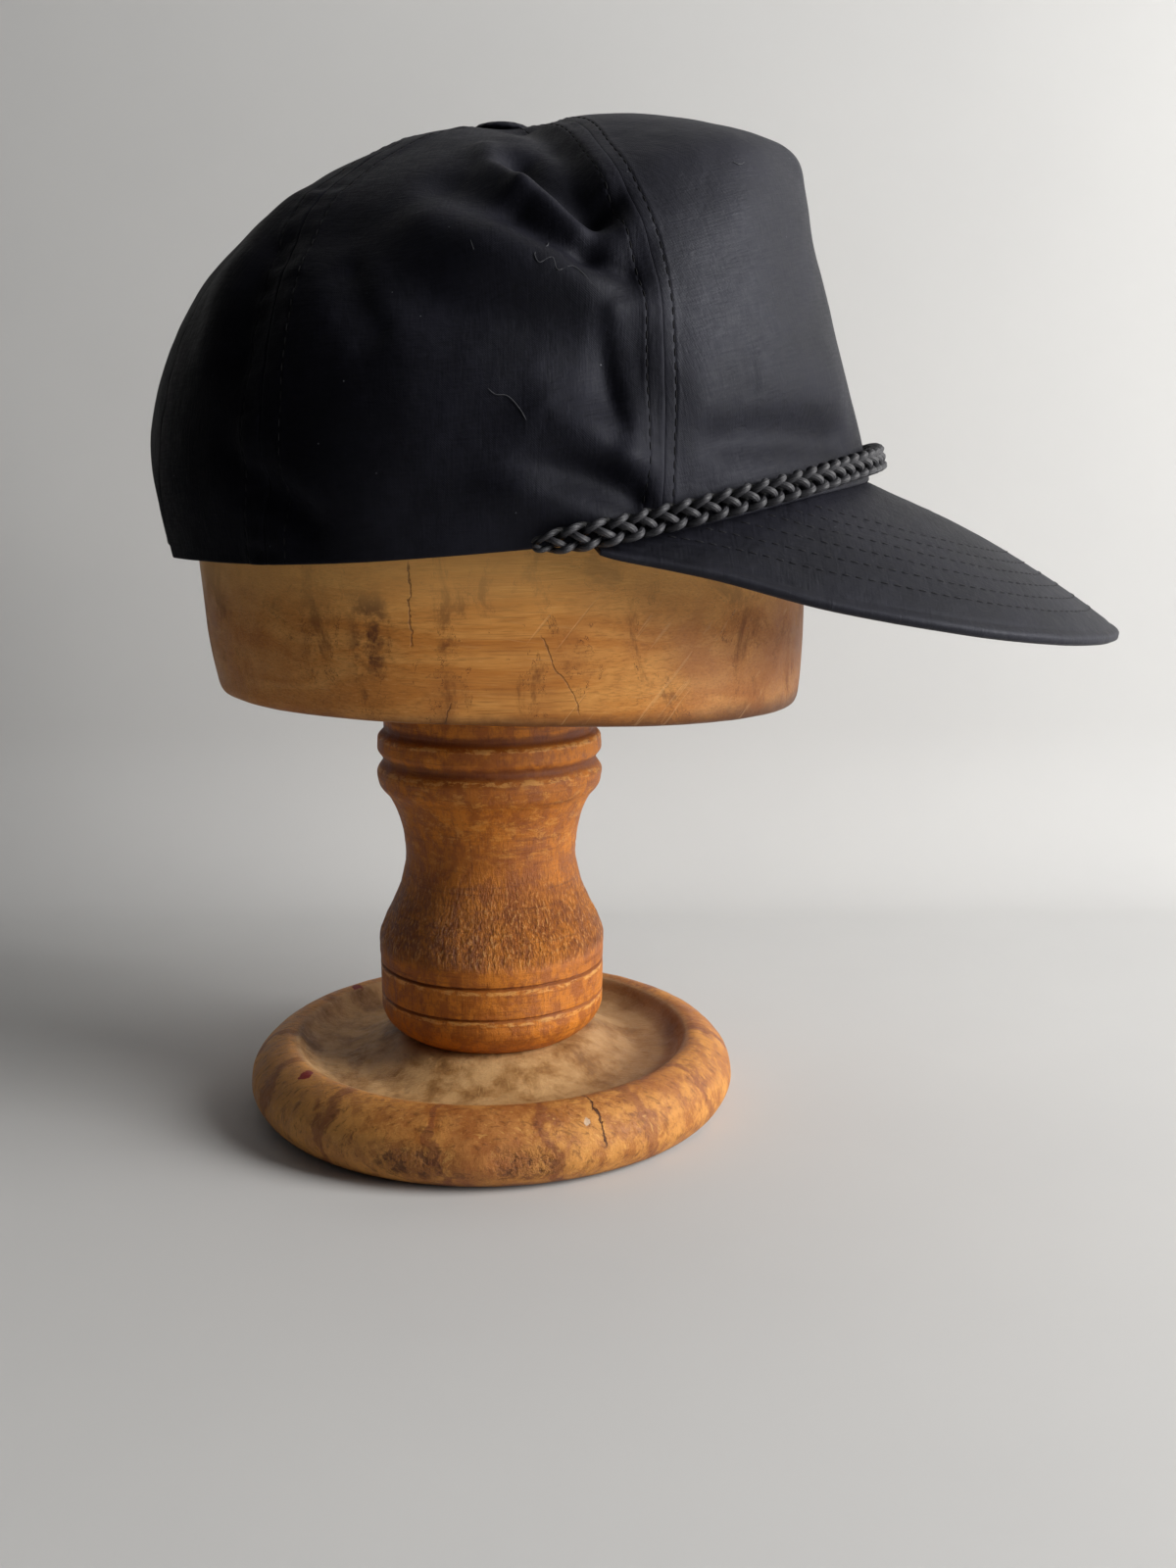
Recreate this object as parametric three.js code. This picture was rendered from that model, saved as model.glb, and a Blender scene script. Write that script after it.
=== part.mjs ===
// A five-panel trucker cap with a braided rope band, resting on a turned wooden hat stand.
// Millimetres, +Z up. The origin is the middle of the stand's underside. The cap faces -Y,
// so the wearer's right side is -X.
import * as THREE from "three";

// ---------------------------------------------------------------- driving sizes

const GAP = 0.3; // clearance between neighbouring pieces
const CLOTH = 1.5; // crown cloth, doubled with its backing

// The crown is a set of profiles around an upright axis that stands a little in front of the
// origin. Azimuth 0 is the front, 90 the wearer's right and 180 the back. Every profile runs
// from the rim to the apex through the same levels, and each pair is radius, height. Above
// leanStart the crown leans forward, so that its apex lies a further `lean` to the front.
const APEX = { forward: 1, height: 277.8, lean: 4.4, leanStart: 0.6 };
const CROWN_LEVELS = [0, 0.19, 0.35, 0.465, 0.56, 0.68, 0.84, 1];
const CROWN_SECTIONS = [
  // azimuth, rim, low wall, high wall, brow, edge, roof, top
  [0, [107.3, 184.6], [98.3, 222], [90.6, 248], [87.6, 262], [82.3, 272], [64.5, 278], [32, 281]],
  [30, [99.2, 181.4], [92.3, 216], [86.3, 243], [83, 257.5], [76, 268.5], [59, 275], [29, 279.8]],
  [60, [87.5, 173], [85.3, 205], [80.3, 231], [73.5, 246], [63, 258.5], [48, 267.5], [24, 276.3]],
  [90, [81, 168.5], [82.5, 196], [79, 222], [72, 238.5], [60.5, 252], [44.5, 263], [22.5, 273.8]],
  [125, [83.5, 165.2], [85.5, 191], [81, 217.5], [72, 236], [59.5, 250], [43.5, 262.5], [22.5, 274.3]],
  [155, [89.5, 165], [92, 189], [86.5, 216.5], [76, 235.5], [62, 250.5], [45, 263.5], [23, 274.8]],
  [180, [92.3, 165], [94.5, 188], [88, 216.5], [77, 236], [62.5, 251.5], [45, 264.3], [23, 275.1]],
];
const PANEL_TOP = 0.965; // crown level where the panels end, under the button
const PANEL_ROWS = 18; // the same on every panel, so that their edges match along the seams

// Azimuth of the two seams on each side, at the crown levels.
const FRONT_SEAM = [60, 58.7, 57.6, 57.8, 57.6, 55, 46, 36];
const BACK_SEAM = [128.5, 127.7, 128.7, 131.5, 135.5, 139, 141, 142];

// Folds and dents of the unstructured cloth: azimuth and level of both ends, half width and
// depth. A positive azimuth is on the wearer's right, and a negative depth is a ridge.
const FOLDS = [
  // from azimuth, level, to azimuth, level, half width, depth
  [60, 0.88, 64.5, 0.52, 6.5, 4.5],
  [84, 0.86, 65, 0.45, 6, -1.5],
  [97, 0.61, 62, 0.41, 7, 3],
  [100, 0.53, 68, 0.36, 7, -1.2],
  [118, 0.51, 68, 0.25, 12, 3],
  [66, 0.34, 67, 0.15, 5, 2],
  [80, 0.155, 64, 0.06, 5.5, 3.5],
  [86, 0.1, 66, 0.01, 6, -1.5],
  [126, 0.14, 119, 0.075, 5, 2.5],
  [136, 0.5, 133, 0.33, 6, 2],
  [150, 0.6, 143, 0.35, 8, -1.5],
  [45, 0.145, 25, 0.075, 9, 1.8],
  [-64, 0.86, -66, 0.52, 8, 3.5],
  [-96, 0.6, -64, 0.42, 8, 2.5],
  [-116, 0.5, -72, 0.24, 12, 2.8],
  [-88, 0.13, -68, 0.07, 6, 2.5],
  [-134, 0.5, -136, 0.3, 8, 2],
  [-158, 0.62, -168, 0.34, 11, 2],
];

const REAR_ARCH = { halfAngle: 24, level: 0.28 };
const STRAP = { width: 18, thickness: 1.5, halfAngle: 33, lift: 2 };
const BUTTON = { radius: 7.5, height: 1.8, lip: 0.6, seat: 1.2 };

// The peak: its outer edge from the side end to the tip.
const PEAK = { halfAngle: 71, thickness: 3, edge: 1.8, sideEnd: 1.2, inset: 2.2, crown: 3.9 };
const PEAK_EDGE = [
  // forward, sideways, height
  [30, 83.4, 168.8],
  [54, 85, 164.6],
  [86, 86, 156.3],
  [122, 80, 149.8],
  [150, 64, 146],
  [171, 37, 143.8],
  [180.5, 0, 143.2],
];

const ROPE = { width: 7, thickness: 5.4, pitch: 5.7, relief: 0.35 };
const ROPE_PATH = [
  // azimuth, height
  [0, 190.8],
  [20, 188.2],
  [40, 183],
  [60, 176.6],
  [72, 173.1],
  [81, 170.8],
];

// The block is an upright squarish oval, straight below and domed above. Its underside is cut
// a little out of level: it rises by `slope` towards the back, and the slope fades out upwards.
const BLOCK_POWER = 2.35;
const BLOCK_UNDERSIDE = { slope: 0.025, fadeHeight: 150 };
const BLOCK_RINGS = [
  // height, half length, half width, forward
  [125.8, 80.2, 70.8, 6.9],
  [126.6, 81.6, 72.2, 6.8],
  [128.5, 82.3, 73, 6.7],
  [150, 84.3, 75, 5.8],
  [192, 85.4, 75, 4.8],
  [208, 84.3, 74, 5.2],
  [222, 79.5, 70.5, 5.2],
  [236, 70.5, 63.5, 4.8],
  [248, 58.5, 53.5, 4.2],
  [258, 45, 42, 3.5],
  [266, 30, 28.5, 2.6],
  [271, 15.5, 15, 1.8],
  [273.6, 1.5, 1.5, 1],
];

const COLUMN_PROFILE = [
  // radius, height
  [26.5, 22.5],
  [29, 24.2],
  [32, 27.5],
  [33.2, 31],
  [33.2, 34],
  [32.4, 34.6],
  [33.2, 35.2],
  [33.3, 43.4],
  [32.4, 44],
  [33.3, 44.6],
  [33.5, 51],
  [32, 56],
  [29.6, 61],
  [26.4, 69],
  [25.1, 76.5],
  [25.6, 82.5],
  [27, 88.5],
  [29.3, 93.8],
  [32.3, 97.8],
  [32.9, 101.5],
  [31.2, 105.2],
  [32.8, 108.2],
  [32.6, 111.6],
  [30.8, 114.2],
  [30.8, 124.7],
];
const BASE_PROFILE = [
  // radius, height
  [65, 0],
  [68, 1.3],
  [70.8, 4.2],
  [72.4, 8.3],
  [71.9, 12.4],
  [69.1, 16.8],
  [65, 19.9],
  [61.3, 21],
  [58.6, 20.4],
  [56, 17.4],
  [51.5, 15.4],
  [45, 15.4],
  [36, 18.6],
  [29.5, 21.8],
  [26, 22.2],
];

// ---------------------------------------------------------------- curves

// Value at `at` of a smooth curve through values at increasing knots. The slope at each inner
// knot comes from its neighbours, and the two ends are flat where `flat` is true.
function smooth(knots, values, at, flat) {
  const last = knots.length - 1;
  const step = (i) => (values[i + 1] - values[i]) / (knots[i + 1] - knots[i]);
  const slope = (i) => {
    if (i === 0) return flat ? 0 : step(0);
    if (i === last) return flat ? 0 : step(last - 1);
    const before = knots[i] - knots[i - 1];
    const after = knots[i + 1] - knots[i];
    return (step(i - 1) * after + step(i) * before) / (before + after);
  };
  let k = 0;
  while (k < last - 1 && at >= knots[k + 1]) k++;
  const span = knots[k + 1] - knots[k];
  const s = THREE.MathUtils.clamp((at - knots[k]) / span, 0, 1);
  const s2 = s * s;
  const s3 = s2 * s;
  return (
    (2 * s3 - 3 * s2 + 1) * values[k] +
    (s3 - 2 * s2 + s) * span * slope(k) +
    (3 * s2 - 2 * s3) * values[k + 1] +
    (s3 - s2) * span * slope(k + 1)
  );
}

// Point at a radius and height around the crown's axis.
function around(azimuth, radius, height) {
  const angle = THREE.MathUtils.degToRad(azimuth);
  const forward = APEX.forward + radius * Math.cos(angle);
  return new THREE.Vector3(-radius * Math.sin(angle), -forward, height);
}

// ---------------------------------------------------------------- the crown's surface

const AZIMUTHS = CROWN_SECTIONS.map((row) => row[0]);
// The levels run on past the apex by one mirrored step, which makes the top round.
const PROFILE_KNOTS = [...CROWN_LEVELS, 2 - CROWN_LEVELS.at(-2)];

function crownProfile(azimuth) {
  const side = Math.abs(azimuth);
  const column = (level, item) =>
    smooth(AZIMUTHS, CROWN_SECTIONS.map((row) => row[level + 1][item]), side, true);
  const levels = CROWN_LEVELS.slice(0, -1).map((_, level) => level);
  const radii = levels.map((level) => column(level, 0));
  const heights = levels.map((level) => column(level, 1));
  return {
    radii: [...radii, 0, -radii.at(-1)],
    heights: [...heights, APEX.height, heights.at(-1)],
  };
}

const radiusAt = (azimuth, level) => smooth(PROFILE_KNOTS, crownProfile(azimuth).radii, level);

// The crown without its folds.
function plainCrown(azimuth, level) {
  const height = smooth(PROFILE_KNOTS, crownProfile(azimuth).heights, level);
  const point = around(azimuth, radiusAt(azimuth, level), height);
  point.y -= APEX.lean * THREE.MathUtils.smoothstep(level, APEX.leanStart, 1);
  return point;
}

function crownNormal(azimuth, level) {
  const step = 0.004;
  const up = plainCrown(azimuth, Math.min(level + step, 1))
    .sub(plainCrown(azimuth, Math.max(level - step, 0)));
  const angle = THREE.MathUtils.degToRad(azimuth);
  const along = plainCrown(azimuth + 1, level).sub(plainCrown(azimuth - 1, level));
  const normal = new THREE.Vector3().crossVectors(up, along).normalize();
  const outward = new THREE.Vector3(-Math.sin(angle), -Math.cos(angle), 0.5);
  return normal.dot(outward) < 0 ? normal.negate() : normal;
}

const FOLD_LINES = FOLDS.map(([azimuth, level, azimuthTo, levelTo, halfWidth, depth]) => {
  const steps = [...Array(9).keys()].map((i) => i / 8);
  const points = steps.map((s) =>
    plainCrown(THREE.MathUtils.lerp(azimuth, azimuthTo, s), THREE.MathUtils.lerp(level, levelTo, s)),
  );
  return { points, halfWidth, depth };
});

// How far the folds push the cloth in at a point of the plain crown.
function foldDepth(point) {
  const nearest = new THREE.Vector3();
  let total = 0;
  for (const { points, halfWidth, depth } of FOLD_LINES) {
    let distance = Infinity;
    for (let i = 0; i + 1 < points.length; i++) {
      new THREE.Line3(points[i], points[i + 1]).closestPointToPoint(point, true, nearest);
      distance = Math.min(distance, nearest.distanceTo(point));
    }
    total += depth * Math.exp(-((distance / halfWidth) ** 2));
  }
  return total;
}

// Point of the folded crown, `inward` below its outer face.
function crownPoint(azimuth, level, inward = 0) {
  const point = plainCrown(azimuth, level);
  const depth = foldDepth(point) + inward;
  return point.addScaledVector(crownNormal(azimuth, level), -depth);
}

// The level where the plain crown reaches a height, on the wall.
function levelAt(azimuth, height) {
  let low = 0;
  let high = 0.6;
  for (let i = 0; i < 30; i++) {
    const middle = (low + high) / 2;
    if (plainCrown(azimuth, middle).z < height) low = middle;
    else high = middle;
  }
  return low;
}

// ---------------------------------------------------------------- solids

const spread = (count) => [...Array(count + 1).keys()].map((i) => i / count);

function solid(points, triangles) {
  const [a, b, c] = [0, 1, 2].map(() => new THREE.Vector3());
  let volume = 0;
  for (let i = 0; i < triangles.length; i += 3) {
    a.copy(points[triangles[i]]);
    b.copy(points[triangles[i + 1]]);
    c.copy(points[triangles[i + 2]]);
    volume += a.dot(b.cross(c));
  }
  if (volume < 0) triangles.reverse();
  const geometry = new THREE.BufferGeometry().setFromPoints(points);
  geometry.setIndex(triangles);
  geometry.computeVertexNormals();
  return geometry;
}

// Closes a grid of points and the matching grid behind it into one slab.
function slab(front, back) {
  const rows = front.length;
  const columns = front[0].length;
  const at = (side, i, j) => (side * rows + i) * columns + j;
  const triangles = [];
  const quad = (a, b, c, d) => triangles.push(a, b, c, a, c, d);
  for (let i = 0; i < rows; i++) {
    for (let j = 0; j < columns; j++) {
      if (i + 1 < rows && j + 1 < columns) {
        quad(at(0, i, j), at(0, i, j + 1), at(0, i + 1, j + 1), at(0, i + 1, j));
        quad(at(1, i, j), at(1, i + 1, j), at(1, i + 1, j + 1), at(1, i, j + 1));
      }
    }
  }
  const last = { i: rows - 1, j: columns - 1 };
  for (let j = 0; j < last.j; j++) {
    quad(at(0, 0, j + 1), at(0, 0, j), at(1, 0, j), at(1, 0, j + 1));
    quad(at(0, last.i, j), at(0, last.i, j + 1), at(1, last.i, j + 1), at(1, last.i, j));
  }
  for (let i = 0; i < last.i; i++) {
    quad(at(0, i, 0), at(0, i + 1, 0), at(1, i + 1, 0), at(1, i, 0));
    quad(at(0, i + 1, last.j), at(0, i, last.j), at(1, i, last.j), at(1, i + 1, last.j));
  }
  return solid([...front.flat(), ...back.flat()], triangles);
}

// Joins rings of points in order and closes both ends.
function tube(rings) {
  const size = rings[0].length;
  const points = rings.flat();
  const triangles = [];
  for (let k = 0; k + 1 < rings.length; k++) {
    for (let j = 0; j < size; j++) {
      const next = (j + 1) % size;
      const [a, b] = [k * size + j, k * size + next];
      triangles.push(a, b, b + size, a, b + size, a + size);
    }
  }
  const close = (ring, offset, turn) => {
    const centre = ring.reduce((sum, p) => sum.add(p), new THREE.Vector3()).divideScalar(size);
    points.push(centre);
    for (let j = 0; j < size; j++) {
      const edge = [offset + j, offset + ((j + 1) % size)];
      triangles.push(points.length - 1, edge[turn], edge[1 - turn]);
    }
  };
  close(rings[0], 0, 1);
  close(rings.at(-1), (rings.length - 1) * size, 0);
  return solid(points, triangles);
}

// A turned piece about Z, closed with flat ends.
function turned(profile, segments) {
  const [bottom, top] = [profile[0][1], profile.at(-1)[1]];
  const outline = [[0, bottom], ...profile, [0, top]].map(([r, z]) => new THREE.Vector2(r, z));
  return new THREE.LatheGeometry(outline, segments).rotateX(Math.PI / 2);
}

// ---------------------------------------------------------------- crown pieces

// A panel between two seams. `edges` gives the azimuths of its two edges at a level, `start`
// the level of its lower edge at an azimuth, and `steps` the shares of its columns across.
function panel(edges, start, steps) {
  const grid = (inward) =>
    spread(PANEL_ROWS).map((row) =>
      steps.map((share) => {
        const low = start(THREE.MathUtils.lerp(...edges(0), share));
        const level = THREE.MathUtils.lerp(low, PANEL_TOP, row);
        const [from, to] = edges(level);
        return crownPoint(THREE.MathUtils.lerp(from, to, share), level, inward);
      }),
    );
  return slab(grid(0), grid(CLOTH));
}

// Azimuth of a seam at a level, moved sideways by half of the gap between two panels.
function seam(table, level, side) {
  const azimuth = smooth(CROWN_LEVELS, table, level);
  return azimuth + (side * THREE.MathUtils.radToDeg(GAP / 2)) / radiusAt(azimuth, level);
}

const rim = () => 0;

// The lower edge of the back panels: the rim, and an arch about the middle of the back.
function archedRim(azimuth) {
  const share = (180 - Math.abs(azimuth)) / REAR_ARCH.halfAngle;
  return share < 1 ? REAR_ARCH.level * Math.sqrt(1 - share * share) : 0;
}

function frontPanel() {
  const edges = (level) => {
    const edge = seam(FRONT_SEAM, level, -1);
    return [-edge, edge];
  };
  return panel(edges, rim, spread(16));
}

function sidePanel(side) {
  const edges = (level) => [
    side * seam(FRONT_SEAM, level, 1),
    side * seam(BACK_SEAM, level, -1),
  ];
  return panel(edges, rim, spread(14));
}

function backPanel(side) {
  const middle = (level) => 180 - (seam(FRONT_SEAM, level, 1) - seam(FRONT_SEAM, level, 0));
  const edges = (level) => [side * seam(BACK_SEAM, level, 1), side * middle(level)];
  // Columns crowd towards the spring of the arch, where its edge is steep.
  const [from, to] = edges(0).map(Math.abs);
  const spring = (180 - REAR_ARCH.halfAngle - from) / (to - from);
  const plain = spread(4).slice(0, -1).map((s) => s * spring);
  const arched = spread(6).map((s) => spring + (1 - spring) * (1 - Math.cos((s * Math.PI) / 2)));
  return panel(edges, archedRim, [...plain, ...arched]);
}

function topButton() {
  const dome = spread(5).map((share) => {
    const angle = (share * Math.PI) / 2;
    return [BUTTON.radius * Math.cos(angle), BUTTON.height * Math.sin(angle)];
  });
  dome.at(-1)[0] = 0.2;
  const profile = [[BUTTON.radius - 1, -BUTTON.lip], ...dome];
  const forward = APEX.forward + APEX.lean;
  return turned(profile, 18).translate(0, -forward, APEX.height + BUTTON.seat);
}

// The strap lies inside the back panels and shows in the arch.
function backStrap() {
  const face = CLOTH + 3 * GAP;
  const grid = (depth) =>
    spread(3).map((up) =>
      spread(20).map((across) => {
        const azimuth = 180 + THREE.MathUtils.lerp(-1, 1, across) * STRAP.halfAngle;
        const near = azimuth > 180 ? azimuth - 360 : azimuth;
        const height = plainCrown(near, 0).z + STRAP.lift + up * STRAP.width;
        return crownPoint(near, levelAt(near, height), depth);
      }),
    );
  return slab(grid(face), grid(face + STRAP.thickness));
}

// ---------------------------------------------------------------- peak and rope

// The free edge of the peak, from the wearer's right round the tip to the left.
const peakEdge = new THREE.CatmullRomCurve3(
  [
    ...PEAK_EDGE,
    ...PEAK_EDGE.slice(0, -1).reverse().map(([forward, side, height]) => [forward, -side, height]),
  ].map(([forward, side, height]) => new THREE.Vector3(-side, -forward, height)),
);

// The upper face of the peak. `across` runs from -1 on the wearer's left to 1, and `out` from
// 0 under the crown's rim to 1 at the free edge.
function peakPoint(across, out) {
  const azimuth = across * PEAK.halfAngle;
  const root = plainCrown(azimuth, 0);
  const inward = new THREE.Vector3(-root.x, -APEX.forward - root.y, 0).setLength(PEAK.inset);
  root.add(inward);
  root.z -= GAP + 0.2 + 0.7 * across ** 6;
  const edge = peakEdge.getPointAt(THREE.MathUtils.clamp((1 - across) / 2, 0, 1));
  const point = root.lerp(edge, out);
  point.z += PEAK.crown * 4 * out * (1 - out) * (1 - across * across);
  return point;
}

function peakNormal(across, out) {
  const step = 0.01;
  const sideways = peakPoint(Math.min(across + step, 1), out)
    .sub(peakPoint(Math.max(across - step, -1), out));
  const outward = peakPoint(across, Math.min(out + step, 1))
    .sub(peakPoint(across, Math.max(out - step, 0)));
  const normal = sideways.cross(outward).normalize();
  return normal.z < 0 ? normal.negate() : normal;
}

function peak() {
  const upper = [];
  const lower = [];
  for (const out of [0, 0.2, 0.4, 0.6, 0.8, 0.95, 1]) {
    const edge = out === 1 ? PEAK.edge : PEAK.thickness;
    const sink = (PEAK.thickness - edge) / 2;
    const row = spread(40).map((share) => {
      const across = THREE.MathUtils.lerp(-1, 1, share);
      const thickness = THREE.MathUtils.lerp(edge, PEAK.sideEnd, across ** 10);
      const point = peakPoint(across, out);
      const normal = peakNormal(across, out);
      return [sink, sink + thickness].map((depth) => point.clone().addScaledVector(normal, -depth));
    });
    upper.push(row.map((pair) => pair[0]));
    lower.push(row.map((pair) => pair[1]));
  }
  return slab(upper, lower);
}

// Middle of the rope at an azimuth, and the direction away from the crown there.
function ropeAt(azimuth) {
  const [knots, heights] = [0, 1].map((item) => ROPE_PATH.map((row) => row[item]));
  const height = smooth(knots, heights, Math.abs(azimuth));
  const level = levelAt(azimuth, height);
  const away = crownNormal(azimuth, level);
  const middle = crownPoint(azimuth, level, -(GAP + 0.1 + ROPE.thickness / 2));
  return { middle, away };
}

function ropeBand() {
  const end = ROPE_PATH.at(-1)[0];
  const stations = spread(72).map((share) => ropeAt(THREE.MathUtils.lerp(end, -end, share)));
  let length = 0;
  const rings = stations.map(({ middle, away }, k) => {
    const before = stations[Math.max(k - 1, 0)].middle;
    const after = stations[Math.min(k + 1, stations.length - 1)].middle;
    if (k) length += middle.distanceTo(before);
    const forward = new THREE.Vector3().subVectors(after, before).normalize();
    const up = new THREE.Vector3().crossVectors(away, forward).normalize();
    const out = new THREE.Vector3().crossVectors(forward, up).normalize();
    const turn = (length / ROPE.pitch) * 2 * Math.PI;
    return spread(8).slice(0, -1).map((share) => {
      const angle = share * 2 * Math.PI;
      const plait = 1 - (ROPE.relief / ROPE.width) * (1 + Math.cos(turn + angle * 2));
      return middle.clone()
        .addScaledVector(up, Math.cos(angle) * (ROPE.width / 2) * plait)
        .addScaledVector(out, Math.sin(angle) * (ROPE.thickness / 2) * plait);
    });
  });
  return tube(rings);
}

// ---------------------------------------------------------------- stand

function hatBlock() {
  const power = 2 / BLOCK_POWER;
  const bottom = BLOCK_RINGS[0][0];
  const rings = BLOCK_RINGS.map(([height, halfLength, halfWidth, forward]) => {
    const fade = 1 - THREE.MathUtils.smoothstep(height, bottom, BLOCK_UNDERSIDE.fadeHeight);
    return spread(40).slice(0, -1).map((share) => {
      const angle = share * 2 * Math.PI;
      const [c, s] = [Math.cos(angle), Math.sin(angle)];
      const x = Math.sign(c) * Math.abs(c) ** power * halfWidth;
      const y = Math.sign(s) * Math.abs(s) ** power * halfLength - forward;
      return new THREE.Vector3(x, y, height + BLOCK_UNDERSIDE.slope * y * fade);
    });
  });
  return tube(rings);
}

// ---------------------------------------------------------------- the object

const poplin = new THREE.MeshStandardMaterial({ color: 0x15161c, roughness: 0.75 });
const braid = new THREE.MeshStandardMaterial({ color: 0x0b0b0d, roughness: 0.45 });
const plainWood = new THREE.MeshStandardMaterial({ color: 0xb98a4e, roughness: 0.55 });
const stainedWood = new THREE.MeshStandardMaterial({ color: 0x9a6530, roughness: 0.6 });

const group = new THREE.Group();

function add(name, geometry, material) {
  const mesh = new THREE.Mesh(geometry, material);
  mesh.name = name;
  group.add(mesh);
}

add("front_panel", frontPanel(), poplin);
add("right_side_panel", sidePanel(1), poplin);
add("left_side_panel", sidePanel(-1), poplin);
add("right_back_panel", backPanel(1), poplin);
add("left_back_panel", backPanel(-1), poplin);
add("top_button", topButton(), poplin);
add("peak", peak(), poplin);
add("rope_band", ropeBand(), braid);
add("back_strap", backStrap(), poplin);
add("hat_block", hatBlock(), plainWood);
add("stand_column", turned(COLUMN_PROFILE, 30), stainedWood);
add("stand_base", turned(BASE_PROFILE, 42), stainedWood);

export default group;
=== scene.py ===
"""A black five-panel rope cap on a turned wooden hat stand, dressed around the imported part.

Tables and functions work in millimetres, in the part's own frame: +Z up, the cap faces -Y,
the wearer's right side is -X. Meshes are scaled to metres as they are made.
"""

import functools
import math

import bpy
import numpy as np
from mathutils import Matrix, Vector


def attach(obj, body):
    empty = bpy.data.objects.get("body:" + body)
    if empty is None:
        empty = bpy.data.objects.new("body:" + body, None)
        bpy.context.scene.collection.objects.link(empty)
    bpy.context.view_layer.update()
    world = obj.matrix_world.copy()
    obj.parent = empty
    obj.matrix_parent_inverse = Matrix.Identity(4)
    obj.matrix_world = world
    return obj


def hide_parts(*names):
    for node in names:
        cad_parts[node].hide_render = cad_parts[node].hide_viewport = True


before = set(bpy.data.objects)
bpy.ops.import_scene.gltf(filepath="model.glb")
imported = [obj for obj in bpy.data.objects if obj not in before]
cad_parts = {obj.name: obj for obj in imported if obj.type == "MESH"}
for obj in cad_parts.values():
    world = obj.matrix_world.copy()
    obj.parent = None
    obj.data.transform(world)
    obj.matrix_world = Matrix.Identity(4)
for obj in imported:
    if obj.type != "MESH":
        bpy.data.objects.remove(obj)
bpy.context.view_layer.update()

MM = 0.001
FLAT = np.array([1, 1, 0])  # takes the height out of a point

# ---- sizes of the cap

GAP = 0.3
CLOTH = 1.5
APEX_FORWARD = 1
APEX_HEIGHT = 277.8
APEX_LEAN = 4.4  # the top leans this far further to the front
LEAN_START = 0.6
CROWN_LEVELS = [0, 0.19, 0.35, 0.465, 0.56, 0.68, 0.84, 1]
CROWN_AZIMUTHS = [0, 30, 60, 90, 125, 155, 180]
CROWN_RADII = [
    # at the azimuths above, one row for each level below the apex
    [107.3, 99.2, 87.5, 81, 83.5, 89.5, 92.3],
    [98.3, 92.3, 85.3, 82.5, 85.5, 92, 94.5],
    [90.6, 86.3, 80.3, 79, 81, 86.5, 88],
    [87.6, 83, 73.5, 72, 72, 76, 77],
    [82.3, 76, 63, 60.5, 59.5, 62, 62.5],
    [64.5, 59, 48, 44.5, 43.5, 45, 45],
    [32, 29, 24, 22.5, 22.5, 23, 23],
]
CROWN_HEIGHTS = [
    [184.6, 181.4, 173, 168.5, 165.2, 165, 165],
    [222, 216, 205, 196, 191, 189, 188],
    [248, 243, 231, 222, 217.5, 216.5, 216.5],
    [262, 257.5, 246, 238.5, 236, 235.5, 236],
    [272, 268.5, 258.5, 252, 250, 250.5, 251.5],
    [278, 275, 267.5, 263, 262.5, 263.5, 264.3],
    [281, 279.8, 276.3, 273.8, 274.3, 274.8, 275.1],
]
PANEL_TOP = 0.965
FRONT_SEAM = [60, 58.7, 57.6, 57.8, 57.6, 55, 46, 36]
BACK_SEAM = [128.5, 127.7, 128.7, 131.5, 135.5, 139, 141, 142]

FOLDS = [
    # from azimuth, level, to azimuth, level, half width, depth (a ridge is negative)
    [60, 0.88, 64.5, 0.52, 6.5, 4.5],
    [84, 0.86, 65, 0.45, 6, -1.5],
    [97, 0.61, 62, 0.41, 7, 3],
    [100, 0.53, 68, 0.36, 7, -1.2],
    [118, 0.51, 68, 0.25, 12, 3],
    [66, 0.34, 67, 0.15, 5, 2],
    [80, 0.155, 64, 0.06, 5.5, 3.5],
    [86, 0.1, 66, 0.01, 6, -1.5],
    [126, 0.14, 119, 0.075, 5, 2.5],
    [136, 0.5, 133, 0.33, 6, 2],
    [150, 0.6, 143, 0.35, 8, -1.5],
    [45, 0.145, 25, 0.075, 9, 1.8],
    [-64, 0.86, -66, 0.52, 8, 3.5],
    [-96, 0.6, -64, 0.42, 8, 2.5],
    [-116, 0.5, -72, 0.24, 12, 2.8],
    [-88, 0.13, -68, 0.07, 6, 2.5],
    [-134, 0.5, -136, 0.3, 8, 2],
    [-158, 0.62, -168, 0.34, 11, 2],
]

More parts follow.
